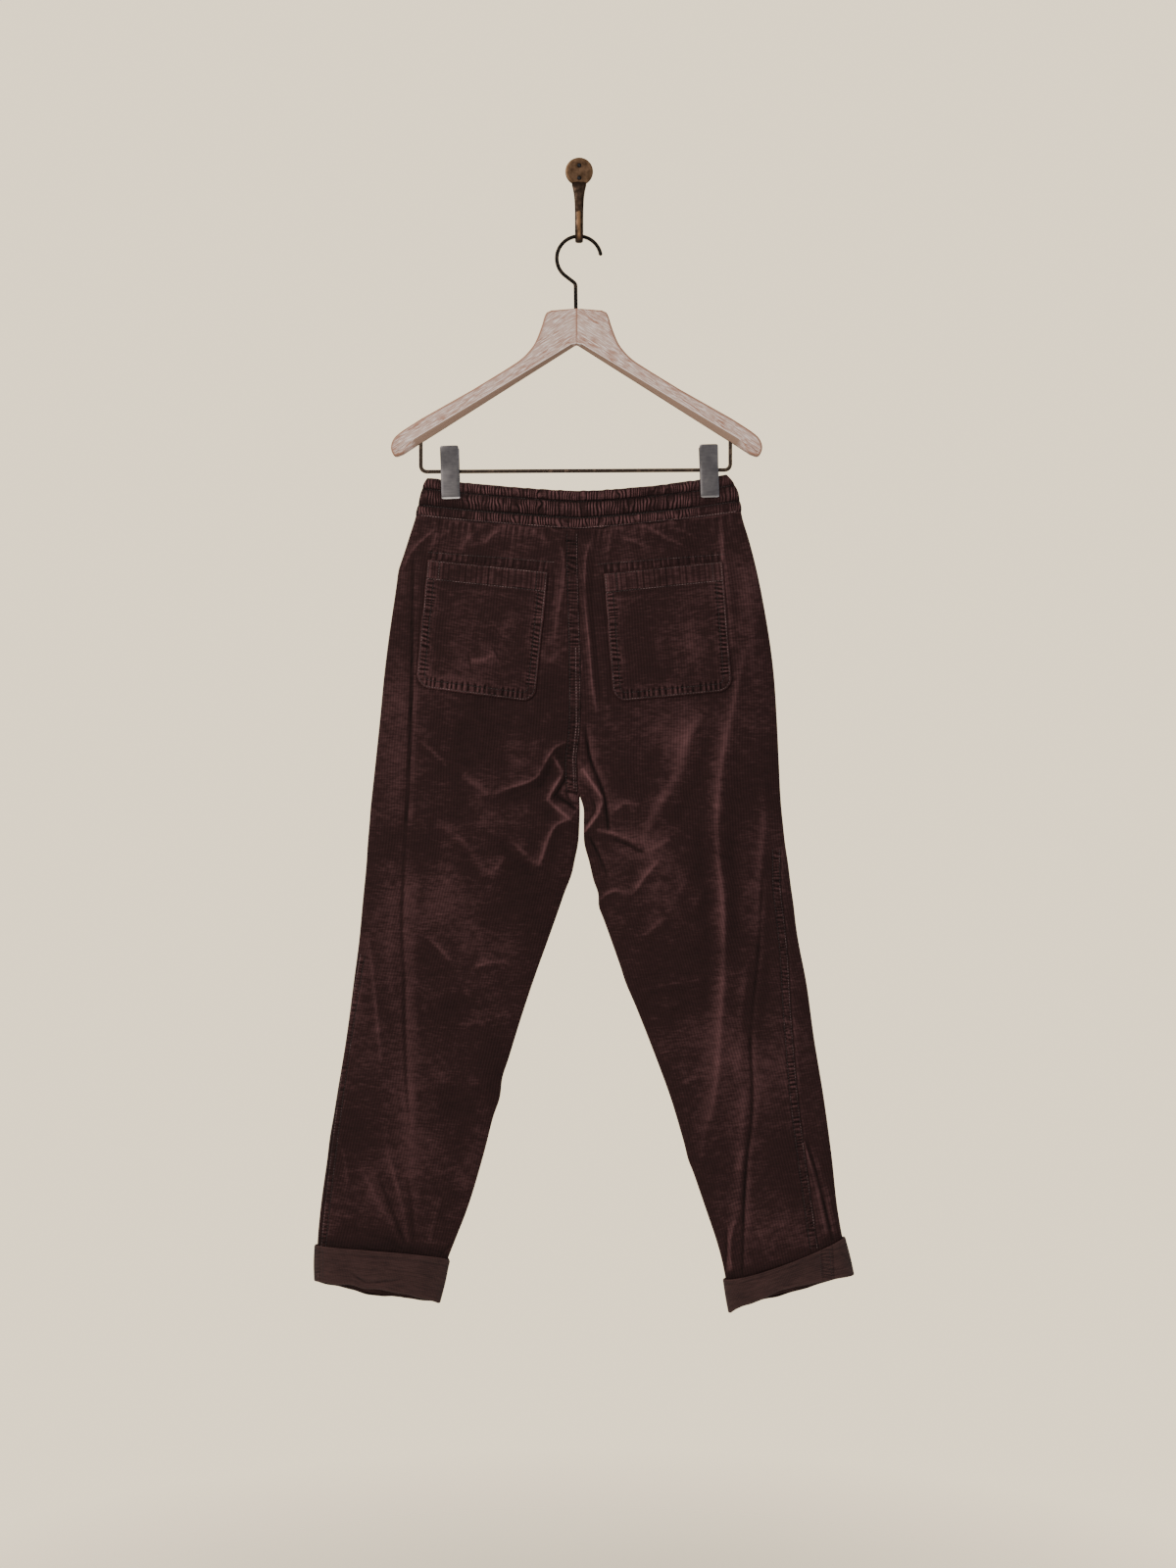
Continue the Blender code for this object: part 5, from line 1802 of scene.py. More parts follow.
@dataclass
class Waistband:
    """One half of the waistband: three elastic channels, gathered all the way across."""

    face: Face
    number: int
    columns: int
    period: float = 4.0
    wall: float = 2.6
    stitched: tuple[float, float] = (0.285, 0.715)
    down: int = 42

    @property
    def name(self) -> str:
        """The node it stands for."""
        return f"waistband_{self.face.word}"

    def bulge(self, share: Array) -> Array:
        """How full a channel is at a height.

        Args:
            share: The height, from 0 at the top to 1 at the seam.

        Returns:
            0 on its stitches to 1 in its middle.
        """
        edges = (0.0, *self.stitched, 1.0)
        found = np.zeros_like(share)
        for low, high in zip(edges, edges[1:]):
            within = np.clip((share - low) / (high - low), 0, 1)
            found = np.maximum(found, np.sin(math.pi * within) ** 0.55)
        return found

    def relief(self, across: Array, share: Array) -> Array:
        """The gathers and puffs of the channels.

        Args:
            across: Where the points are.
            share: Their heights, from 0 at the top to 1 at the seam.

        Returns:
            How far the outside stands over the smooth form.
        """
        channel = sum(as_shares((share - edge) / 0.03 + 0.5) for edge in self.stitched)
        phase = across / self.period + 1.3 * value_noise(across / 10, 9.5 * channel, 70 + self.number)
        phase = phase + 0.45 * value_noise(across / 8, share * 5, 72 + self.number)
        puffs = ruched(phase) ** 0.8
        height = 1.75 + 1.3 * value_noise(across / 5.5, share * 5 + 3 * channel, 74 + self.number)
        full = self.bulge(share)
        bunches = value_noise(across / 7.5, 0.5, 76 + self.number)
        bunches = as_shares((share - self.stitched[1]) / 0.1) * bunches
        free = 1 - 0.8 * bell(clip_distance(across) / 20.0)
        raised = 1.5 * full + height * (0.3 + 0.7 * full) * (puffs - 0.3) + 1.1 * bunches * full
        return free * raised - 0.6 * (1 - full)

    def build(self) -> Object:
        """Makes the half as one closed ring of cloth over its elastic.

        Returns:
            Its object.
        """
        shares = np.linspace(0.03, 1, self.down + 1)
        turn = np.radians([35, 70, 105, 140])
        # round the ring: the height's share, the inset, the drop and how much relief is kept
        ring = [(0.03, self.wall * (1 + math.cos(a)) / 2, -1.3 * math.sin(a), 0.25) for a in turn]
        ring += [(share, 0.0, 0.0, 1.0) for share in shares]
        ring += [(share, self.wall, 0.0, 0.0) for share in (1.0, 0.66, 0.33, 0.04)]
        heights, inset, drop, kept = np.array(ring).T[..., None]
        grids, reliefs = [], []
        for side in Side:
            s = column_shares(self.columns // 2, 0.1)
            top, seam = WAIST_TOP.row(side), WAIST_SEAM.row(side)
            rows = top + (seam - top) * heights
            rows[:, :2] -= GAP * heights
            across, _ = FORM.flat(side, s, rows)
            relief = self.relief(across, np.broadcast_to(heights, across.shape)) * kept
            side_bulge = -1.1 * self.bulge(heights) * kept
            grid = FORM.grid(side, self.face, s, rows, relief, inset + side_bulge)
            ruffle = 0.7 * value_noise(across / 5.5, 0.5, 77 + self.number) * (1 - heights) ** 2
            grid[..., 2] += (ruffle - drop + seam_wave(across) * as_shares((heights - 0.72) / 0.28)) * MM
            grids.append(grid if side is Side.LEFT else grid[:, ::-1])
            reliefs.append(relief if side is Side.LEFT else relief[:, ::-1])
        grid, relief = np.concatenate(grids, axis=1), np.concatenate(reliefs, axis=1)
        grain = grain_of(grid, self.number)
        # the ridge value paints sheen on the puffs and shade in the gathers, a little darker overall
        made = lofted(
            "cord_" + self.name, grid.transpose(1, 0, 2), NEEDLECORD, 80,
            dress=[grain.transpose(1, 0, 2), painted_sheen_and_shade(relief, -0.07, 1.3).T],
        )
        return declare(made, "cord_cloth", self.name)

    def stitch_lines(self) -> list[Array]:
        """Its two rows of stitches and the one along its seam.

        Returns:
            Lines of (across, below).
        """
        lines = []
        for share in (*self.stitched, 0.975):
            halves = []
            for side in Side:
                top, seam = WAIST_TOP.row(side), WAIST_SEAM.row(side)
                row = top + (seam - top) * share
                across, below = FORM.flat(side, np.linspace(0.03, 1, 40), row[None])
                half = np.stack([across[0], below[0]], axis=1)
                halves.append(half if side is Side.LEFT else half[::-1])
            lines.append(np.vstack(halves))
        return lines


@dataclass
class TurnUp:
    """Half of a turned-up hem: the cord's wrong side, folded up outside the leg."""

    side: Side
    face: Face
    number: int
    columns: int
    rows: int
    lift: float = 3.5
    fold: float = 2.6
    wave: float = 2.2

    @property
    def name(self) -> str:
        """The node it stands for."""
        return f"cuff_{self.side.value}_{self.face.word}"

    def build(self) -> Object:
        """Makes the outer layer and the fold that carries it under the leg's end.

        Returns:
            Its object.
        """
        s = column_shares(self.columns)
        down = np.linspace(0, 1, self.rows + 1)
        turn = np.radians(np.linspace(15, 130, 8))
        lifts = self.lift + 0.5 * np.sin(math.pi * down) - 0.9 * bell(down / 0.02)
        lifts = np.concatenate([lifts, self.lift - self.fold * (1 - np.cos(turn))])
        drops = np.concatenate([np.zeros(len(down)), 2.0 * np.sin(turn)])
        rows = FORM.rows(self.side, [(CUFF_TOP, self.rows), (HEM, 0)])
        rows = np.vstack([rows, np.repeat(rows[-1:], len(turn), axis=0)])
        shares = np.concatenate([down, np.ones(len(turn))])[:, None]
        across, below = FORM.flat(self.side, s, rows)
        lift, tone = crease_relief(f"{self.face.word}_{self.side.value}", across, below)
        own_lift, own_tone = crease_relief(self.name, across, below)
        seams, shade = seam_relief(self.name, across, below)
        relief = own_lift + 0.4 * lift + 0.6 * rumple(across, below, 200 + self.number) + seams
        relief -= 0.5 * bell((shares - 0.16) * 40)
        relief = relief * (1 - 0.5 * as_shares((shares - 0.8) / 0.2))
        grid = FORM.grid(self.side, self.face, s, rows, relief, -lifts[:, None])
        ends = np.sin(math.pi * s) ** 0.5
        wave = self.wave * ends * value_noise(across / 17, 0.5, 210 + self.number)
        wave = wave * as_shares((shares - 0.4) / 0.6)
        rise = hem_rise(self.side, self.face, s) * shares
        grid[..., 2] += (rise + wave - drops[:, None]) * MM
        # painted highlights along the turn-up's top edge and its lower fold, with the creases' and seams'
        # painted sheen and shade
        rim = 0.22 * bell(shares / 0.035) + 0.12 * bell((1 - shares) / 0.05)
        dress = [grain_of(grid, self.number), painted_sheen_and_shade(relief, 0.3 * tone + own_tone + shade + rim)]
        made = cloth_shell("cord_" + self.name, grid, CLOTH * 0.8, self.face, dress, [CORD_BACK, NEEDLECORD])
        return declare(made, "cord_wrong_side", self.name)


@dataclass
class Stitches:
    """Rows of sewing thread on the cloth's outside, all in one piece."""

    long: float = 2.5
    thick: float = 0.34
    pitch: float = 3.3
    sides: int = 5
    found: list = field(default_factory=list)

    def template(self) -> Array:
        """One stitch along X.

        Returns:
            Its rings of points, in millimetres.
        """
        angles = 2 * math.pi * np.arange(self.sides) / self.sides
        rings = []
        for x, share in ((-0.5, 0.35), (-0.28, 1.0), (0.28, 1.0), (0.5, 0.35)):
            radius = self.thick * share
            along = np.full(self.sides, x * self.long)
            turn = (radius * np.cos(angles) * 1.25, radius * np.sin(angles))
            rings.append(np.stack([along, *turn], axis=1))
        return np.array(rings)

    def sew(self, tree: BVHTree, line: Array, pale: float = 0.0) -> None:
        """Lays stitches on the surface nearest to the room.

        Args:
            tree: The surface.
            line: Where they run, as rows of (across, below).
            pale: How light their thread looks, from 0 to 0.5.
        """
        steps = np.linalg.norm(np.diff(line, axis=0), axis=1)
        walked = np.concatenate([[0.0], np.cumsum(steps)])
        places = np.arange(self.pitch / 2, walked[-1], self.pitch)
        for at in places:
            reached = (at - self.long / 2, at + self.long / 2)
            ends = [[np.interp(to, walked, line[:, k]) for k in (0, 1)] for to in reached]
            first, second = (seen_from_room(tree, *end) for end in ends)
            along = second[0] - first[0]
            if along.length > 1.6 * self.long * MM or along.length < 1e-5:
                continue
            normal = (first[1] + second[1]).normalized()
            if normal.y > 0:
                normal = -normal
            along.normalize()
            aside = normal.cross(along).normalized()
            middle = (first[0] + second[0]) / 2 + normal * 0.12 * MM
            self.found.append((middle, along, aside, aside.cross(along) * -1, pale))

    def build(self) -> Object:
        """Makes every stitch that has been laid.

        Returns:
            Their object.
        """
        shape = self.template() * MM
        points, faces = [], []
        tube, count = tube_faces(len(shape), self.sides), len(shape) * self.sides
        for middle, along, aside, normal, _ in self.found:
            start = len(points) * count
            frame_of = np.array([along, aside, normal])
            points.append(shape.reshape(-1, 3) @ frame_of + np.array(middle))
            faces += [tuple(start + k for k in f) for f in tube]
        pale = np.repeat([found[-1] for found in self.found], count)
        dress, shares = [np.zeros((len(pale), 2)), pale], [(THREAD.material(), len(faces))]
        made = make_mesh("thread_stitches", np.concatenate(points), faces, dress, shares, 60)
        face_out(made)
        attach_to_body(made, "root")
        LOG.info("%s: %d stitches", made.name, len(self.found))
        return made


# ---------------------------------------------------------------- the hanger
@dataclass
class HangerWood:
    """One arm of the wooden hanger, mitred at the centre, with machined and sanded edges."""

    side: Side
    top: tuple = ((0, 171), (30, 173), (35.5, 175.5), (38, 180))
    neck: tuple = ((42, 193), (49, 210.5), (57, 222), (68, 232.5), (87, 245))
    arm: tuple = ((123, 267), (185, 302), (206, 315.5), (216.5, 324))
    tip: tuple = ((221, 333), (220.5, 341), (216, 346.5), (207, 344))
    apex: float = 213.0
    under_slope: float = 0.633
    foot: float = 18.0
    axis: float = -3.0
    edge_round: float = 2.6
    under_cut: tuple[float, float] = (2.6, 0.026)  # the lower chamfer at the mitre, and its growth
    under_deep: float = 5.0

    def under(self, across: float) -> float:
        """How far below the wood's lower edge lies."""
        return self.apex + self.under_slope * abs(across - self.axis)

    def outline(self) -> tuple[Array, Array]:
        """The arm as seen from the room.

        Returns:
            Its points as (out from the mitre, below), and the rounding at each.
        """
        top = [np.array(self.top[:2]), curve_through([*self.top[2:], *self.neck], 5)]
        top += [np.linspace(self.neck[-1], self.arm[0], 8)[1:]]
        top += [np.linspace(self.arm[0], self.arm[1], 12)[1:]]
        upper = np.vstack([*top, curve_through([*self.arm[1:], *self.tip], 5)[1:]])
        foot = self.tip[-1][0] - self.foot
        low = np.linspace((foot, self.apex + self.under_slope * foot), (0, self.apex), 40)
        chamfer = self.under_cut[0] + self.under_cut[1] * low[:, 0]
        rounds = [np.full(len(upper), self.edge_round), chamfer]
        rounds[0][0] = rounds[1][-1] = 0.5
        return np.vstack([upper, low]), np.concatenate(rounds)

    def inward(self, outline: Array) -> Array:
        """The way in from the outline, with next to none at the mitre.

        Args:
            outline: Its points.

        Returns:
            A direction for each point, longer at corners.
        """
        before, after = np.roll(outline, 1, axis=0), np.roll(outline, -1, axis=0)
        first, second = outline - before, after - outline
        first /= np.linalg.norm(first, axis=1, keepdims=True)
        second /= np.linalg.norm(second, axis=1, keepdims=True)
        turned = np.stack([-(first + second)[:, 1], (first + second)[:, 0]], axis=1)
        turned /= np.linalg.norm(turned, axis=1, keepdims=True)
        stretch = 1 / np.maximum((turned * np.stack([-first[:, 1], first[:, 0]], axis=1)).sum(1), 0.75)
        turned *= stretch[:, None]
        turned[outline[:, 0] == 0, 0] = 0.12
        return turned

    def build(self) -> Object:
        """Makes the arm.

        Returns:
            Its object.
        """
        toward = -1 if self.side is Side.LEFT else 1
        name = f"hanger_wood_{self.side.value}"
        low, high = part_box(name)
        near, far = -high.y / MM, -low.y / MM  # how far the back and the face stand off the wall
        outline, rounds = self.outline()
        inward = self.inward(outline)
        lower = np.arange(len(outline)) >= len(outline) - 40
        deep = np.where(lower, self.under_deep, rounds)
        rings, ridges = [], []
        # rings on the face: how far past the rounding, and how worn their upper and lower parts are;
        # a lower value of 1.5 paints the white highlight line along the lower chamfer's edge
        for past, *worn in ((2.4, 0.42, 0.42), (1.0, 0.5, 0.44), (0.85, 0.52, 1.5), (0.1, 0.6, 1.5)):
            rings.append((outline + inward * (rounds + past)[:, None], np.full(len(outline), far)))
            ridges.append(worn)
        for share in (0.0, 0.3, 0.6, 0.85, 1.0):
            a = math.radians(90 * (1 - share))
            inset = rounds * np.where(lower, 1 - share, 1 - math.cos(a))
            back = far - deep * np.where(lower, share, 1 - math.sin(a))
            rings.append((outline + inward * inset[:, None], back))
            ridges.append((0.62 if share == 0.0 else 0.85, 0.08))
        count = len(rings)
        for share in (0.25, 0.5, 0.75):
            rings.append((outline, far - deep - (far - near - 2 * deep) * share))
            ridges.append((0.55, 0.08))
        for k in range(count):
            flat, out = rings[count - 1 - k]
            rings.append((flat, near + far - out))
            ridges.append(ridges[count - 1 - k])
        direction = np.array([215.0, 135.0]) / math.hypot(215, 135)
        points, grain, ridge = [], [], []
        for (flat, out), worn in zip(rings, ridges):
            across = self.axis + toward * np.maximum(flat[:, 0], 0.02)
            points.append(np.stack([across, -out, -flat[:, 1]], axis=1))
            along, aside = flat @ direction, flat @ np.array([-direction[1], direction[0]])
            grain.append(np.stack([along + 700 * toward, aside + (far - out)], axis=1))
            mitre = (flat[:, 0] < 0.3) & (worn[0] > 0.61)
            ridge.append(np.where(mitre, 0.8, np.where(lower, worn[1], worn[0])))
        dress = [np.array(grain) * MM, np.array(ridge)]
        made = lofted(name.replace("hanger", "limed"), np.array(points) * MM, BEECH, 50, dress)
        return declare(made, "limed_wood", name)


@dataclass
class HangerWires:
    """The hanger's swivel hook and the bar below it, both bent from one kind of wire."""

    wire: float = 4.5  # with its lacquer
    bar_ends: tuple[float, float] = (-189.0, 180.5)
    bar_below: tuple[float, float] = (364.6, 362.5)
    bar_bend: float = 7.0
    hook_centre: Point = (-0.3, 109.8)
    hook_radius: float = 26.4
    hook_turns: tuple[float, float] = (10.0, 230.0)
    knee: Point = (-4.3, 140.0)
    foot: Point = (-3.9, 171.0)

    def rounded(self, corner: Point, before: Point, after: Point, radius: float) -> Array:
        """A bend of the wire.

        Args:
            corner: Where the straight parts would meet.
            before, after: Points that the wire comes from and goes to.
            radius: The bend's radius.

        Returns:
            The points of the bend.
        """
        corner, before, after = (np.array(p, float) for p in (corner, before, after))
        first, second = before - corner, after - corner
        first, second = first / np.linalg.norm(first), second / np.linalg.norm(second)
        half = math.acos(np.clip(first @ second, -1, 1)) / 2
        back = radius / math.tan(half)
        t = np.linspace(0, 1, 11)[:, None]
        start, end = corner + first * back, corner + second * back
        inside = (first + second) / np.linalg.norm(first + second)
        middle = corner + inside * (radius / math.sin(half) - radius)
        pull = 2 * middle - (start + end) / 2
        return start * (1 - t) ** 2 + 2 * pull * t * (1 - t) + end * t**2

    def build(self, wood: HangerWood) -> list[Object]:
        """Makes the bar and the hook.

        Args:
            wood: An arm, whose lower edge the bar runs up to.

        Returns:
            Their objects.
        """
        (left, right), (low, high) = self.bar_ends, self.bar_below
        first, last = (left, wood.under(left) - 2), (right, wood.under(right) - 2)
        corners = [(left, low), (right, high)]
        path = [np.linspace(first, (left, low - self.bar_bend - 1), 5)]
        path += [self.rounded(corners[0], first, corners[1], self.bar_bend)]
        path += [self.rounded(corners[1], corners[0], last, self.bar_bend)]
        path += [np.linspace((right, high - self.bar_bend - 1), last, 5)]
        bar = np.vstack(path)
        turns = np.radians(np.linspace(*self.hook_turns, 45))
        round_centre = np.stack([np.cos(turns), -np.sin(turns)], axis=1)
        arc = np.array(self.hook_centre) + self.hook_radius * round_centre
        bend = self.rounded(self.knee, arc[-1], self.foot, 6.0)
        hook = np.vstack([arc, bend, [self.foot], [(self.foot[0], self.foot[1] + 2)]])
        found = []
        for node, flat, finish in (("hanger_bar", bar, BAR_LACQUER), ("hanger_hook", hook, LACQUER)):
            centre = sum(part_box(node), Vector()) / 2
            path = np.insert(flat, 1, -centre.y / MM, axis=1)
            made = rod(node.replace("hanger", "lacquered"), path, self.wire / 2, finish, 16)
            found.append(declare(made, "black_wire", node))
        return found


@dataclass
class SpringClip:
    """A sliding clip: two pressed plates with a lip at the jaw, closed by a coiled spring."""

    side: Side
    lean: float = -1.7
    wide: float = 22.0
    plate: float = 1.4
    corner: float = 2.2
    crown: float = 0.55
    coil_wire: float = 1.1
    coils: int = 10
    painted_lip_highlight: float = 0.4  # how bright the painted highlight along the plate's lower edge is

    def make_plate(self, word: str, way: int) -> Object:
        """Makes one plate in its solid's box.

        Args:
            word: Which plate it is.
            way: 1 when it is nearer to the room, -1 when nearer to the wall.

        Returns:
            The plate.
        """
        low, high = (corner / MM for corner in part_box(f"clip_{self.side.value}_{word}"))
        tall, opening = high.z - low.z, high.y - low.y - self.plate
        inner = -high.y if way > 0 else -low.y
        arcs = np.radians(np.linspace(90, 0, 6))
        rise, draw = self.corner * (1 - np.sin(arcs)), self.corner * (1 - np.cos(arcs))
        straight = np.linspace(self.corner, tall - self.corner, 40)[1:-1]
        downs = np.concatenate([rise, straight, tall - rise[::-1]])
        halves = self.wide / 2 - np.concatenate([draw, np.zeros(len(straight)), draw[::-1]])
        t = np.linspace(-1, 1, 15)
        rings, painted_highlight = [], []
        for down, half in zip(downs, halves):
            share = down / tall
            # a painted highlight along the lip's lower edge
            painted_highlight.append(self.painted_lip_highlight * float(as_shares((down - tall + 1.9) / 0.5)))
            flare = opening * (1 - float(as_shares(share / 0.47)))
            lip = float(as_shares((share - 0.94) / 0.05)) * 0.8
            crowned = self.crown * (1 - t**2)
            outer = flare + self.plate - self.crown + crowned - 0.4 * (np.abs(t) > 0.93) - lip * 0.5
            inside = flare + crowned * 0.7 - lip * 0.6
            x = np.concatenate([t * half, t[::-1] * half])
            out = inner + way * np.concatenate([outer, inside[::-1]])
            rings.append(np.stack([x, out, np.full(len(x), down - tall / 2)], axis=1))
        rings = np.array(rings)
        lean = math.radians(self.lean)
        x, out, down = (rings[..., k] for k in range(3))
        across = (low.x + high.x) / 2 + x * math.cos(lean) + down * math.sin(-lean)
        below = -(low.z + high.z) / 2 + down * math.cos(lean) + x * math.sin(lean)
        points = np.stack([across, -out, -below], axis=-1) * MM
        bright = np.repeat(np.array(painted_highlight)[:, None], points.shape[1], axis=1)
        dress = [points[..., ::2], bright]
        return lofted(f"gunmetal_{self.side.value}_{word}", points, GUNMETAL, 35, dress)

    def make_spring(self) -> Object:
        """Winds the spring round the bar, in its solid's box.

        Returns:
            The spring.
        """
        low, high = (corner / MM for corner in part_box(f"clip_{self.side.value}_sleeve"))
        middle, radius = (low + high) / 2, (high.y - low.y) / 2 - self.coil_wire / 2
        turns = np.linspace(0, 2 * math.pi * self.coils, 14 * self.coils)
        across = np.linspace(low.x + self.coil_wire / 2, high.x - self.coil_wire / 2, len(turns))
        out, below = -middle.y + radius * np.cos(turns), -middle.z + radius * np.sin(turns)
        path = np.stack([across, out, below], axis=1)
        return rod(f"gunmetal_{self.side.value}_spring", path, self.coil_wire / 2, GUNMETAL, 8)

    def build(self) -> list[Object]:
        """Makes the plates and the spring.

        Returns:
            Their objects.
        """
        made = {"front": self.make_plate("front", 1), "back": self.make_plate("back", -1)}
        made["sleeve"] = self.make_spring()
        node = f"clip_{self.side.value}_"
        return [declare(piece, "gunmetal", node + word) for word, piece in made.items()]


# ---------------------------------------------------------------- the wall hook
class Cut(NamedTuple):
    """A cut across the hook's arm: where its middle is, its width, thickness and turn."""

    out: float
    below: float
    wide: float
    thick: float
    turn: float


@dataclass
class WallHook:
    """The cast hook: a round plate with two screws, and an arm that turns up into a J."""

    plate_radius: float = 16.7
    plate_thick: float = 4.0
    plate_edge: float = 1.5
    screws: tuple[float, float] = (-7.0, 8.2)
    screw_radius: float = 2.7
    screw_height: float = 1.5
    slot_wide: float = 0.7
    throat: float = 11.0
    throat_below: float = 74.4
    j_size: Point = (8.2, 5.8)
    tip_size: Point = (7.2, 3.6)
    tip_below: float = 56.0
    ring: int = 32
    squareness: float = 0.7
    fullness: float = 1.22  # the casting's round sides, over the solid's width
    arm: tuple = (
        Cut(2.6, 12.5, 13.5, 2.2, 0), Cut(4.6, 17, 14.2, 4.6, 10), Cut(6.6, 24, 11.8, 5.4, 12),
        Cut(8.5, 34, 9.6, 5.6, 9), Cut(9.6, 46, 8.6, 5.8, 4), Cut(10, 60, 8.2, 5.8, 0),
    )

    def cuts(self) -> Array:
        """The cuts down the arm and round the J.

        Returns:
            Rows of out, below, wide, thick and turn.
        """
        found = list(self.arm)
        for share in np.linspace(0, 1, 9):
            a = math.pi * share
            wide = self.j_size[0] + (self.tip_size[0] - self.j_size[0]) * share
            thick = self.j_size[1] + (self.tip_size[1] - self.j_size[1]) * max(0.0, share - 0.5)
            radius = self.throat + thick / 2
            out, below = -HANG - radius * math.cos(a), self.throat_below + radius * math.sin(a)
            found.append(Cut(out, below, wide, thick, 180 * share))
        wide, thick = self.tip_size
        found.append(found[-1]._replace(thick=thick, below=(found[-1].below + self.tip_below) / 2))
        smooth = curve_through(found, 4)
        last = smooth[-1]
        ends = [(2.6, 0.99), (1.7, 0.93), (1.0, 0.8), (0.4, 0.58), (0.05, 0.25)]
        tips = [(last[0], self.tip_below + short, wide * share, thick * share, 180) for short, share in ends]
        return np.vstack([smooth, tips])

    def make_arm(self) -> Object:
        """Makes the arm, with a painted highlight down the J's upturned front, partly rubbed bronze.

        Returns:
            The arm.
        """
        a = 2 * math.pi * (np.arange(self.ring) + 0.5) / self.ring
        square = [np.sign(v) * np.abs(v) ** self.squareness for v in (np.cos(a), np.sin(a))]
        rings, rubbed = [], []
        for out, below, wide, thick, turn in self.cuts():
            lean, deep = math.radians(turn), thick / 2 * square[1]
            x, y = self.fullness * wide / 2 * square[0], -(out + deep * math.cos(lean))
            rings.append(np.stack([x, y, -(below - deep * math.sin(lean))], axis=1))
            # a painted highlight down the middle of the J's upturned front, where it faces the lamp, partly
            # rubbed bronze
            worn = 0.75 * as_shares((turn - 95) / 60) * as_shares(0.9 - 1.3 * np.abs(square[0]))
            rubbed.append(worn)
        grain = np.zeros((len(rings), self.ring, 2))
        return lofted("cast_arm", np.array(rings) * MM, BRASS, 60, [grain, np.array(rubbed)])

    def turned(
        self, name: str, profile: list[Point], below: float, finish: Finish, around: int = 64
    ) -> Object:
        """A round piece.

        Args:
            name: The object's name.
            profile: Its points as (radius, out).
            below: Where its middle is.
            finish: What it is dressed in.
            around: How many points go round it.

        Returns:
            The piece.
        """
        a = 2 * math.pi * np.arange(around) / around
        rings, worn = [], []
        for radius, out in profile:
            x, z = radius * np.cos(a), radius * np.sin(a) - below
            rings.append(np.stack([x, np.full(around, -out), z], axis=1))
            rim = radius > 0.9 * profile[1][0] and out > 0.6 * profile[-1][1]
            worn.append(0.3 if rim else 0.16)
        worn = np.array(worn)
        dress = [np.zeros((len(rings), around, 2)), np.repeat(worn[:, None], around, axis=1)]
        return lofted(name, np.array(rings) * MM, finish, 50, dress)

    def build(self) -> list[Object]:
        """Makes the casting and its screws.

        Returns:
            Their objects.
        """
        edge, radius, thick = self.plate_edge, self.plate_radius, self.plate_thick
        arcs = np.radians(np.linspace(0, 90, 7))
        profile = [(radius - 0.3, 0.0), (radius, 0.3)]
        profile += [(radius - edge * (1 - math.cos(a)), thick - edge * (1 - math.sin(a))) for a in arcs]
        profile += [(radius - 4, thick - 0.12), (radius - 8, thick), (3.0, thick + 0.1), (0.5, thick + 0.1)]
        plate = self.turned("cast_plate", profile, 0.0, BRASS)
        casting = joined("cast_wall_hook", [plate, self.make_arm()])
        found = [declare(casting, "aged_brass", "wall_hook")]
        for node, below in zip(("screw_upper", "screw_lower"), self.screws):
            screw = self.make_screw("slotted_" + node, below)
            found.append(declare(screw, "aged_brass", node))
        return found

    def make_screw(self, name: str, below: float) -> Object:
        """Makes a domed screw head with a slot filed across it.

        Args:
            name: The object's name.
            below: Where its middle is.

        Returns:
            The screw.
        """
        angles = np.radians(np.linspace(0, 86, 12))
        start = self.plate_thick - 0.4
        dome = self.screw_height + 0.6
        profile = [(self.screw_radius * math.cos(a), start + dome * math.sin(a)) for a in angles]
        made = self.turned(name, profile, below, SCREW, 48)
        floor = -(start + self.screw_height) * MM
        for v in made.data.vertices:
            tilt = v.co.x * 0.94 + (v.co.z + below * MM) * 0.34
            if abs(tilt) < self.slot_wide / 2 * MM and v.co.y < floor:
                v.co.y = floor
        return made


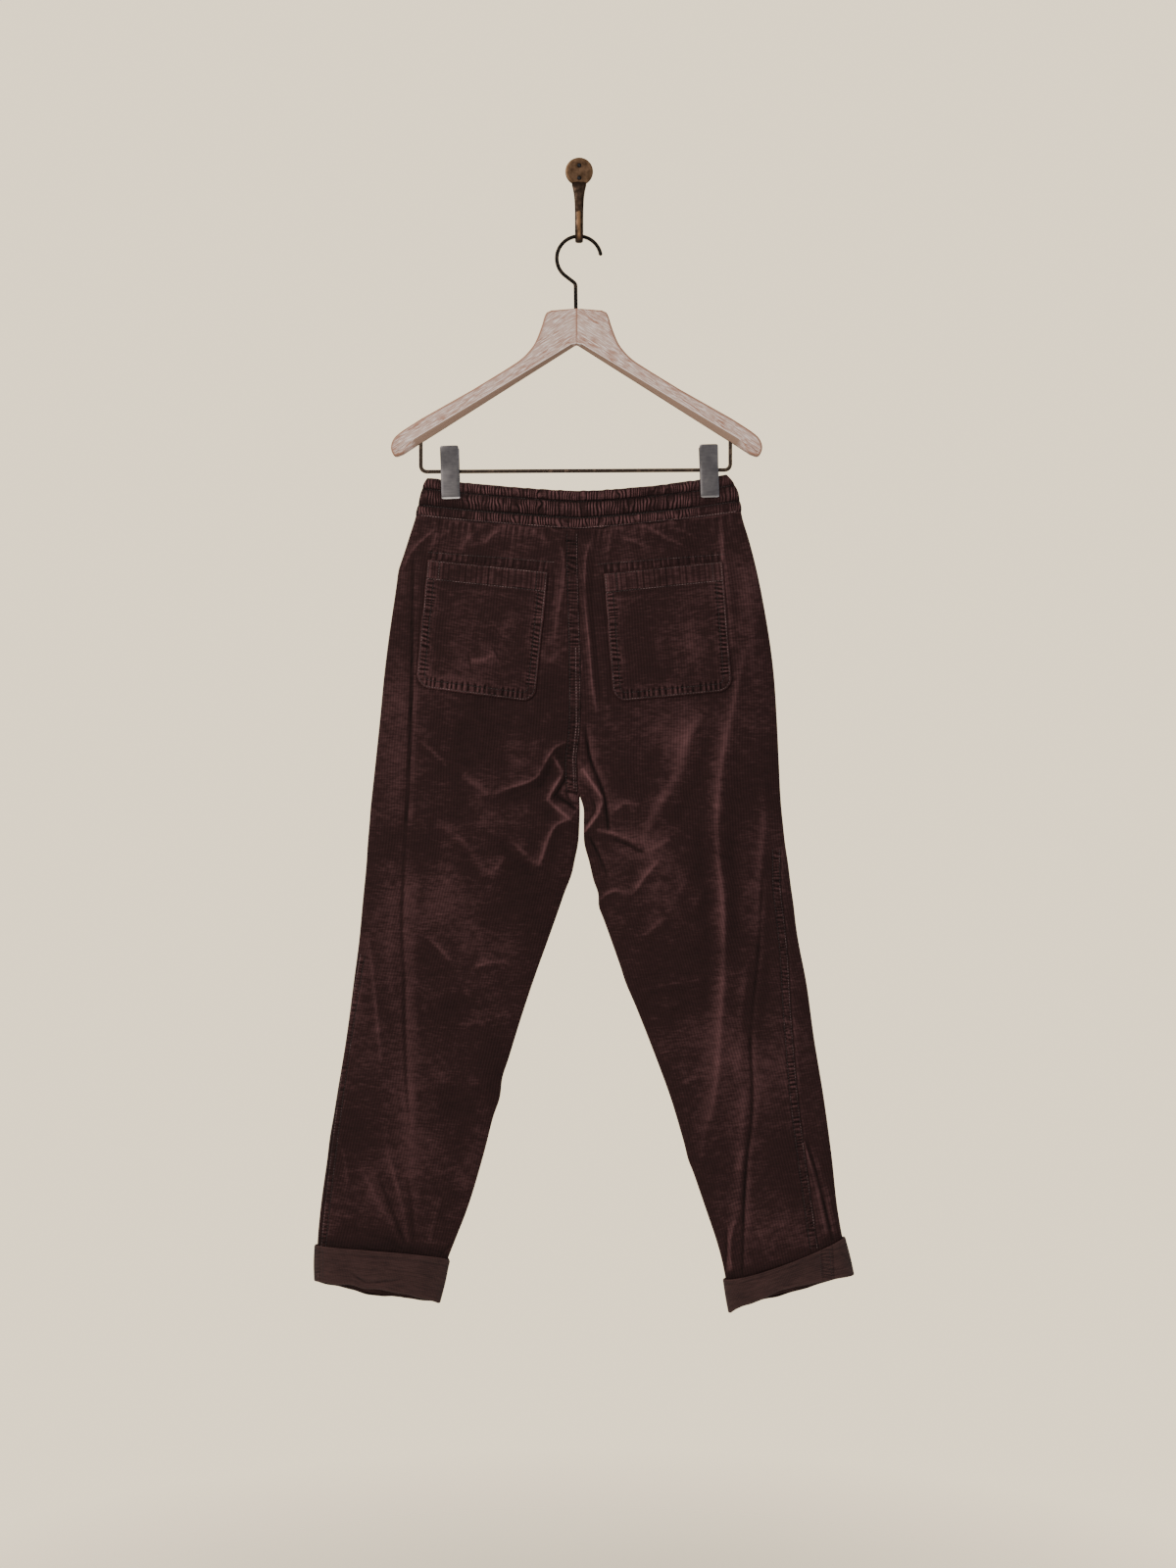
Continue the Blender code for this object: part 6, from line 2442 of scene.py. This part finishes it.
# ---------------------------------------------------------------- the studio
@dataclass
class Studio:
    """The plain surroundings: a pale floor, soft light from the upper left, and the camera."""

    eye: tuple[float, float, float] = (0.0106, -2.624, -0.7374)
    lens: float = 33.33
    sensor: float = 24.0
    floor_below: float = 1.95
    floor_radius: float = 2.2
    surround: str = "#decdb0"
    fill: str = "#d2cbc4"

    def make_floor(self) -> Object:
        """Makes a round floor with a soft rim.

        Returns:
            The floor.
        """
        mesh = bmesh.new()
        bmesh.ops.create_circle(mesh, cap_ends=True, segments=96, radius=self.floor_radius)
        data = bpy.data.meshes.new("floor")
        mesh.to_mesh(data)
        mesh.free()
        made = bpy.data.objects.new("floor", data)
        made.location.z = -self.floor_below
        data.materials.append(FLOOR.material())
        bpy.context.collection.objects.link(made)
        return made

    def add_light(self, name: str, at: tuple, power: float, size: float, colour: str) -> None:
        """Adds a soft lamp that shines at the middle of the trousers.

        Args:
            name: Its name.
            at: Where it is, in metres.
            power, size: Its watts, and its width in metres.
            colour: Its colour.
        """
        lamp = bpy.data.lights.new(name, "AREA")
        lamp.energy, lamp.size, lamp.color = power, size, linear(colour)[:3]
        made = bpy.data.objects.new(name, lamp)
        made.location = at
        aim = Vector((0.0, -0.02, -0.75)) - Vector(at)
        made.rotation_euler = aim.to_track_quat("-Z", "Y").to_euler()
        bpy.context.collection.objects.link(made)

    def make_surround(self) -> None:
        """Gives the camera a pale wall colour, and the scene a weaker fill of the same."""
        world = bpy.data.worlds.new("surround")
        bpy.context.scene.world = world
        world.use_nodes = True
        tree = world.node_tree
        add = partial(add_node, tree)
        seen = add("Background", {"Color": linear(self.surround), "Strength": 2.36})[0]
        fill = add("Background", {"Color": linear(self.fill), "Strength": 0.55})[0]
        mixed = add("MixShader", {0: add("LightPath")["Is Camera Ray"], 1: fill, 2: seen})[0]
        attach(tree, tree.nodes["World Output"], {0: mixed})

    def make_camera(self) -> None:
        """Sets the camera where the photo was taken from."""
        data = bpy.data.cameras.new("camera")
        data.sensor_fit, data.sensor_height, data.lens = "VERTICAL", self.sensor, self.lens
        made = bpy.data.objects.new("camera", data)
        made.location = self.eye
        made.rotation_euler = (math.radians(90), 0, 0)
        bpy.context.collection.objects.link(made)
        bpy.context.scene.camera = made

    def build(self) -> None:
        """Makes the floor, the surroundings, the lamps and the camera."""
        self.make_floor()
        self.make_surround()
        self.add_light("window", (-1.5, -2.1, 0.9), 62.0, 1.1, "#fff3e6")
        self.add_light("room_fill", (2.0, -2.2, -0.9), 11.0, 2.0, "#f6f2fa")
        self.add_light("floor_bounce", (0.2, -1.6, -2.2), 14.0, 1.8, "#fff4e8")
        self.add_light("rear", (0.6, 2.4, 0.6), 30.0, 2.0, "#fff6ec")
        self.make_camera()


LEGS = [
    LegPanel(Side.LEFT, Face.BACK, 1, 120, (172, 328), (0.29, 0.98), 0.215),
    LegPanel(Side.RIGHT, Face.BACK, 2, 120, (172, 328), (0.29, 0.98), 0.215),
    LegPanel(Side.LEFT, Face.FRONT, 3, 64, (90, 170), (0.29, 0.98), 0.215),
    LegPanel(Side.RIGHT, Face.FRONT, 4, 64, (90, 170), (0.29, 0.98), 0.215),
]
BANDS = [Waistband(Face.BACK, 5, 560), Waistband(Face.FRONT, 6, 300, down=24)]
CUFFS = [
    TurnUp(side, face, 10 + 2 * i + j, 110 if face is Face.BACK else 80, 36)
    for i, side in enumerate(Side) for j, face in enumerate(Face)
]
# rows of stitches outside the waistband, pockets and seams: their paleness, and (across, below)
SINGLE_LINES = [
    (-0.1, [(-180.4, 461.4), (-104, 467.5), (-27.8, 474.2)]),
    (-0.1, [(22.2, 476.5), (98, 470), (173.6, 463.7)]),
    (0.16, [(-4.2, 575), (-3.4, 620), (-3.2, 667), (-7.4, 708), (-5.8, 744)]),
    (-0.3, [(286.2, 1296.4), (287.2, 1310), (288.4, 1323.1)]),
    (-0.3, [(298.2, 1293.0), (299.2, 1307), (300.2, 1321.0)]),
    (-0.2, [(-311.5, 1293), (-311, 1325)]),
    (-0.2, [(-305.5, 1293), (-305, 1326)]),
]


def stitched(pieces: list[Object]) -> Object:
    """Sews every visible row.

    Args:
        pieces: The finished pieces that show from the room.

    Returns:
        The stitches.
    """
    tree, sewing = surface_of(pieces), Stitches()
    for line, pale in zip(BANDS[0].stitch_lines(), (-0.5, -0.5, 0.12)):
        sewing.sew(tree, line, pale)
    for pocket in POCKETS.values():
        for line, pale in zip(pocket.stitch_lines(), (0.0, -0.5, 0.0, -0.1, -0.1, 0.0)):
            sewing.sew(tree, line, pale)
    for seam in SEAMS:
        if seam.panel.startswith("back"):
            line = curve_through(seam.line, SEAM_STEPS)
            sewing.sew(tree, line + (np.sign(-seam.strip) * 1.4, 0), 0.0)
            sewing.sew(tree, line - (seam.strip, 0), -0.15)
    for pale, line in SINGLE_LINES:
        sewing.sew(tree, np.array(line, float), pale)
    return sewing.build()


def main() -> None:
    """Builds the trousers, then what holds them, then the studio."""
    logging.basicConfig(level=logging.INFO, format="%(message)s")
    legs = [leg.build() for leg in LEGS]
    backs = {Side.LEFT: legs[0], Side.RIGHT: legs[1]}
    pockets = [pocket.build(backs[side]) for side, pocket in POCKETS.items()]
    bands = [band.build() for band in BANDS]
    cuffs = [cuff.build() for cuff in CUFFS]
    stitched([*backs.values(), *pockets, bands[0], *cuffs[::2]])
    woods = [HangerWood(side) for side in Side]
    for wood in woods:
        wood.build()
    HangerWires().build(woods[0])
    for side in Side:
        # the left clip's painted lip highlight is brighter than the right one's
        SpringClip(side, painted_lip_highlight=1.0 if side is Side.LEFT else 0.3).build()
    WallHook().build()
    Studio().build()


if __name__ == "__main__":
    main()
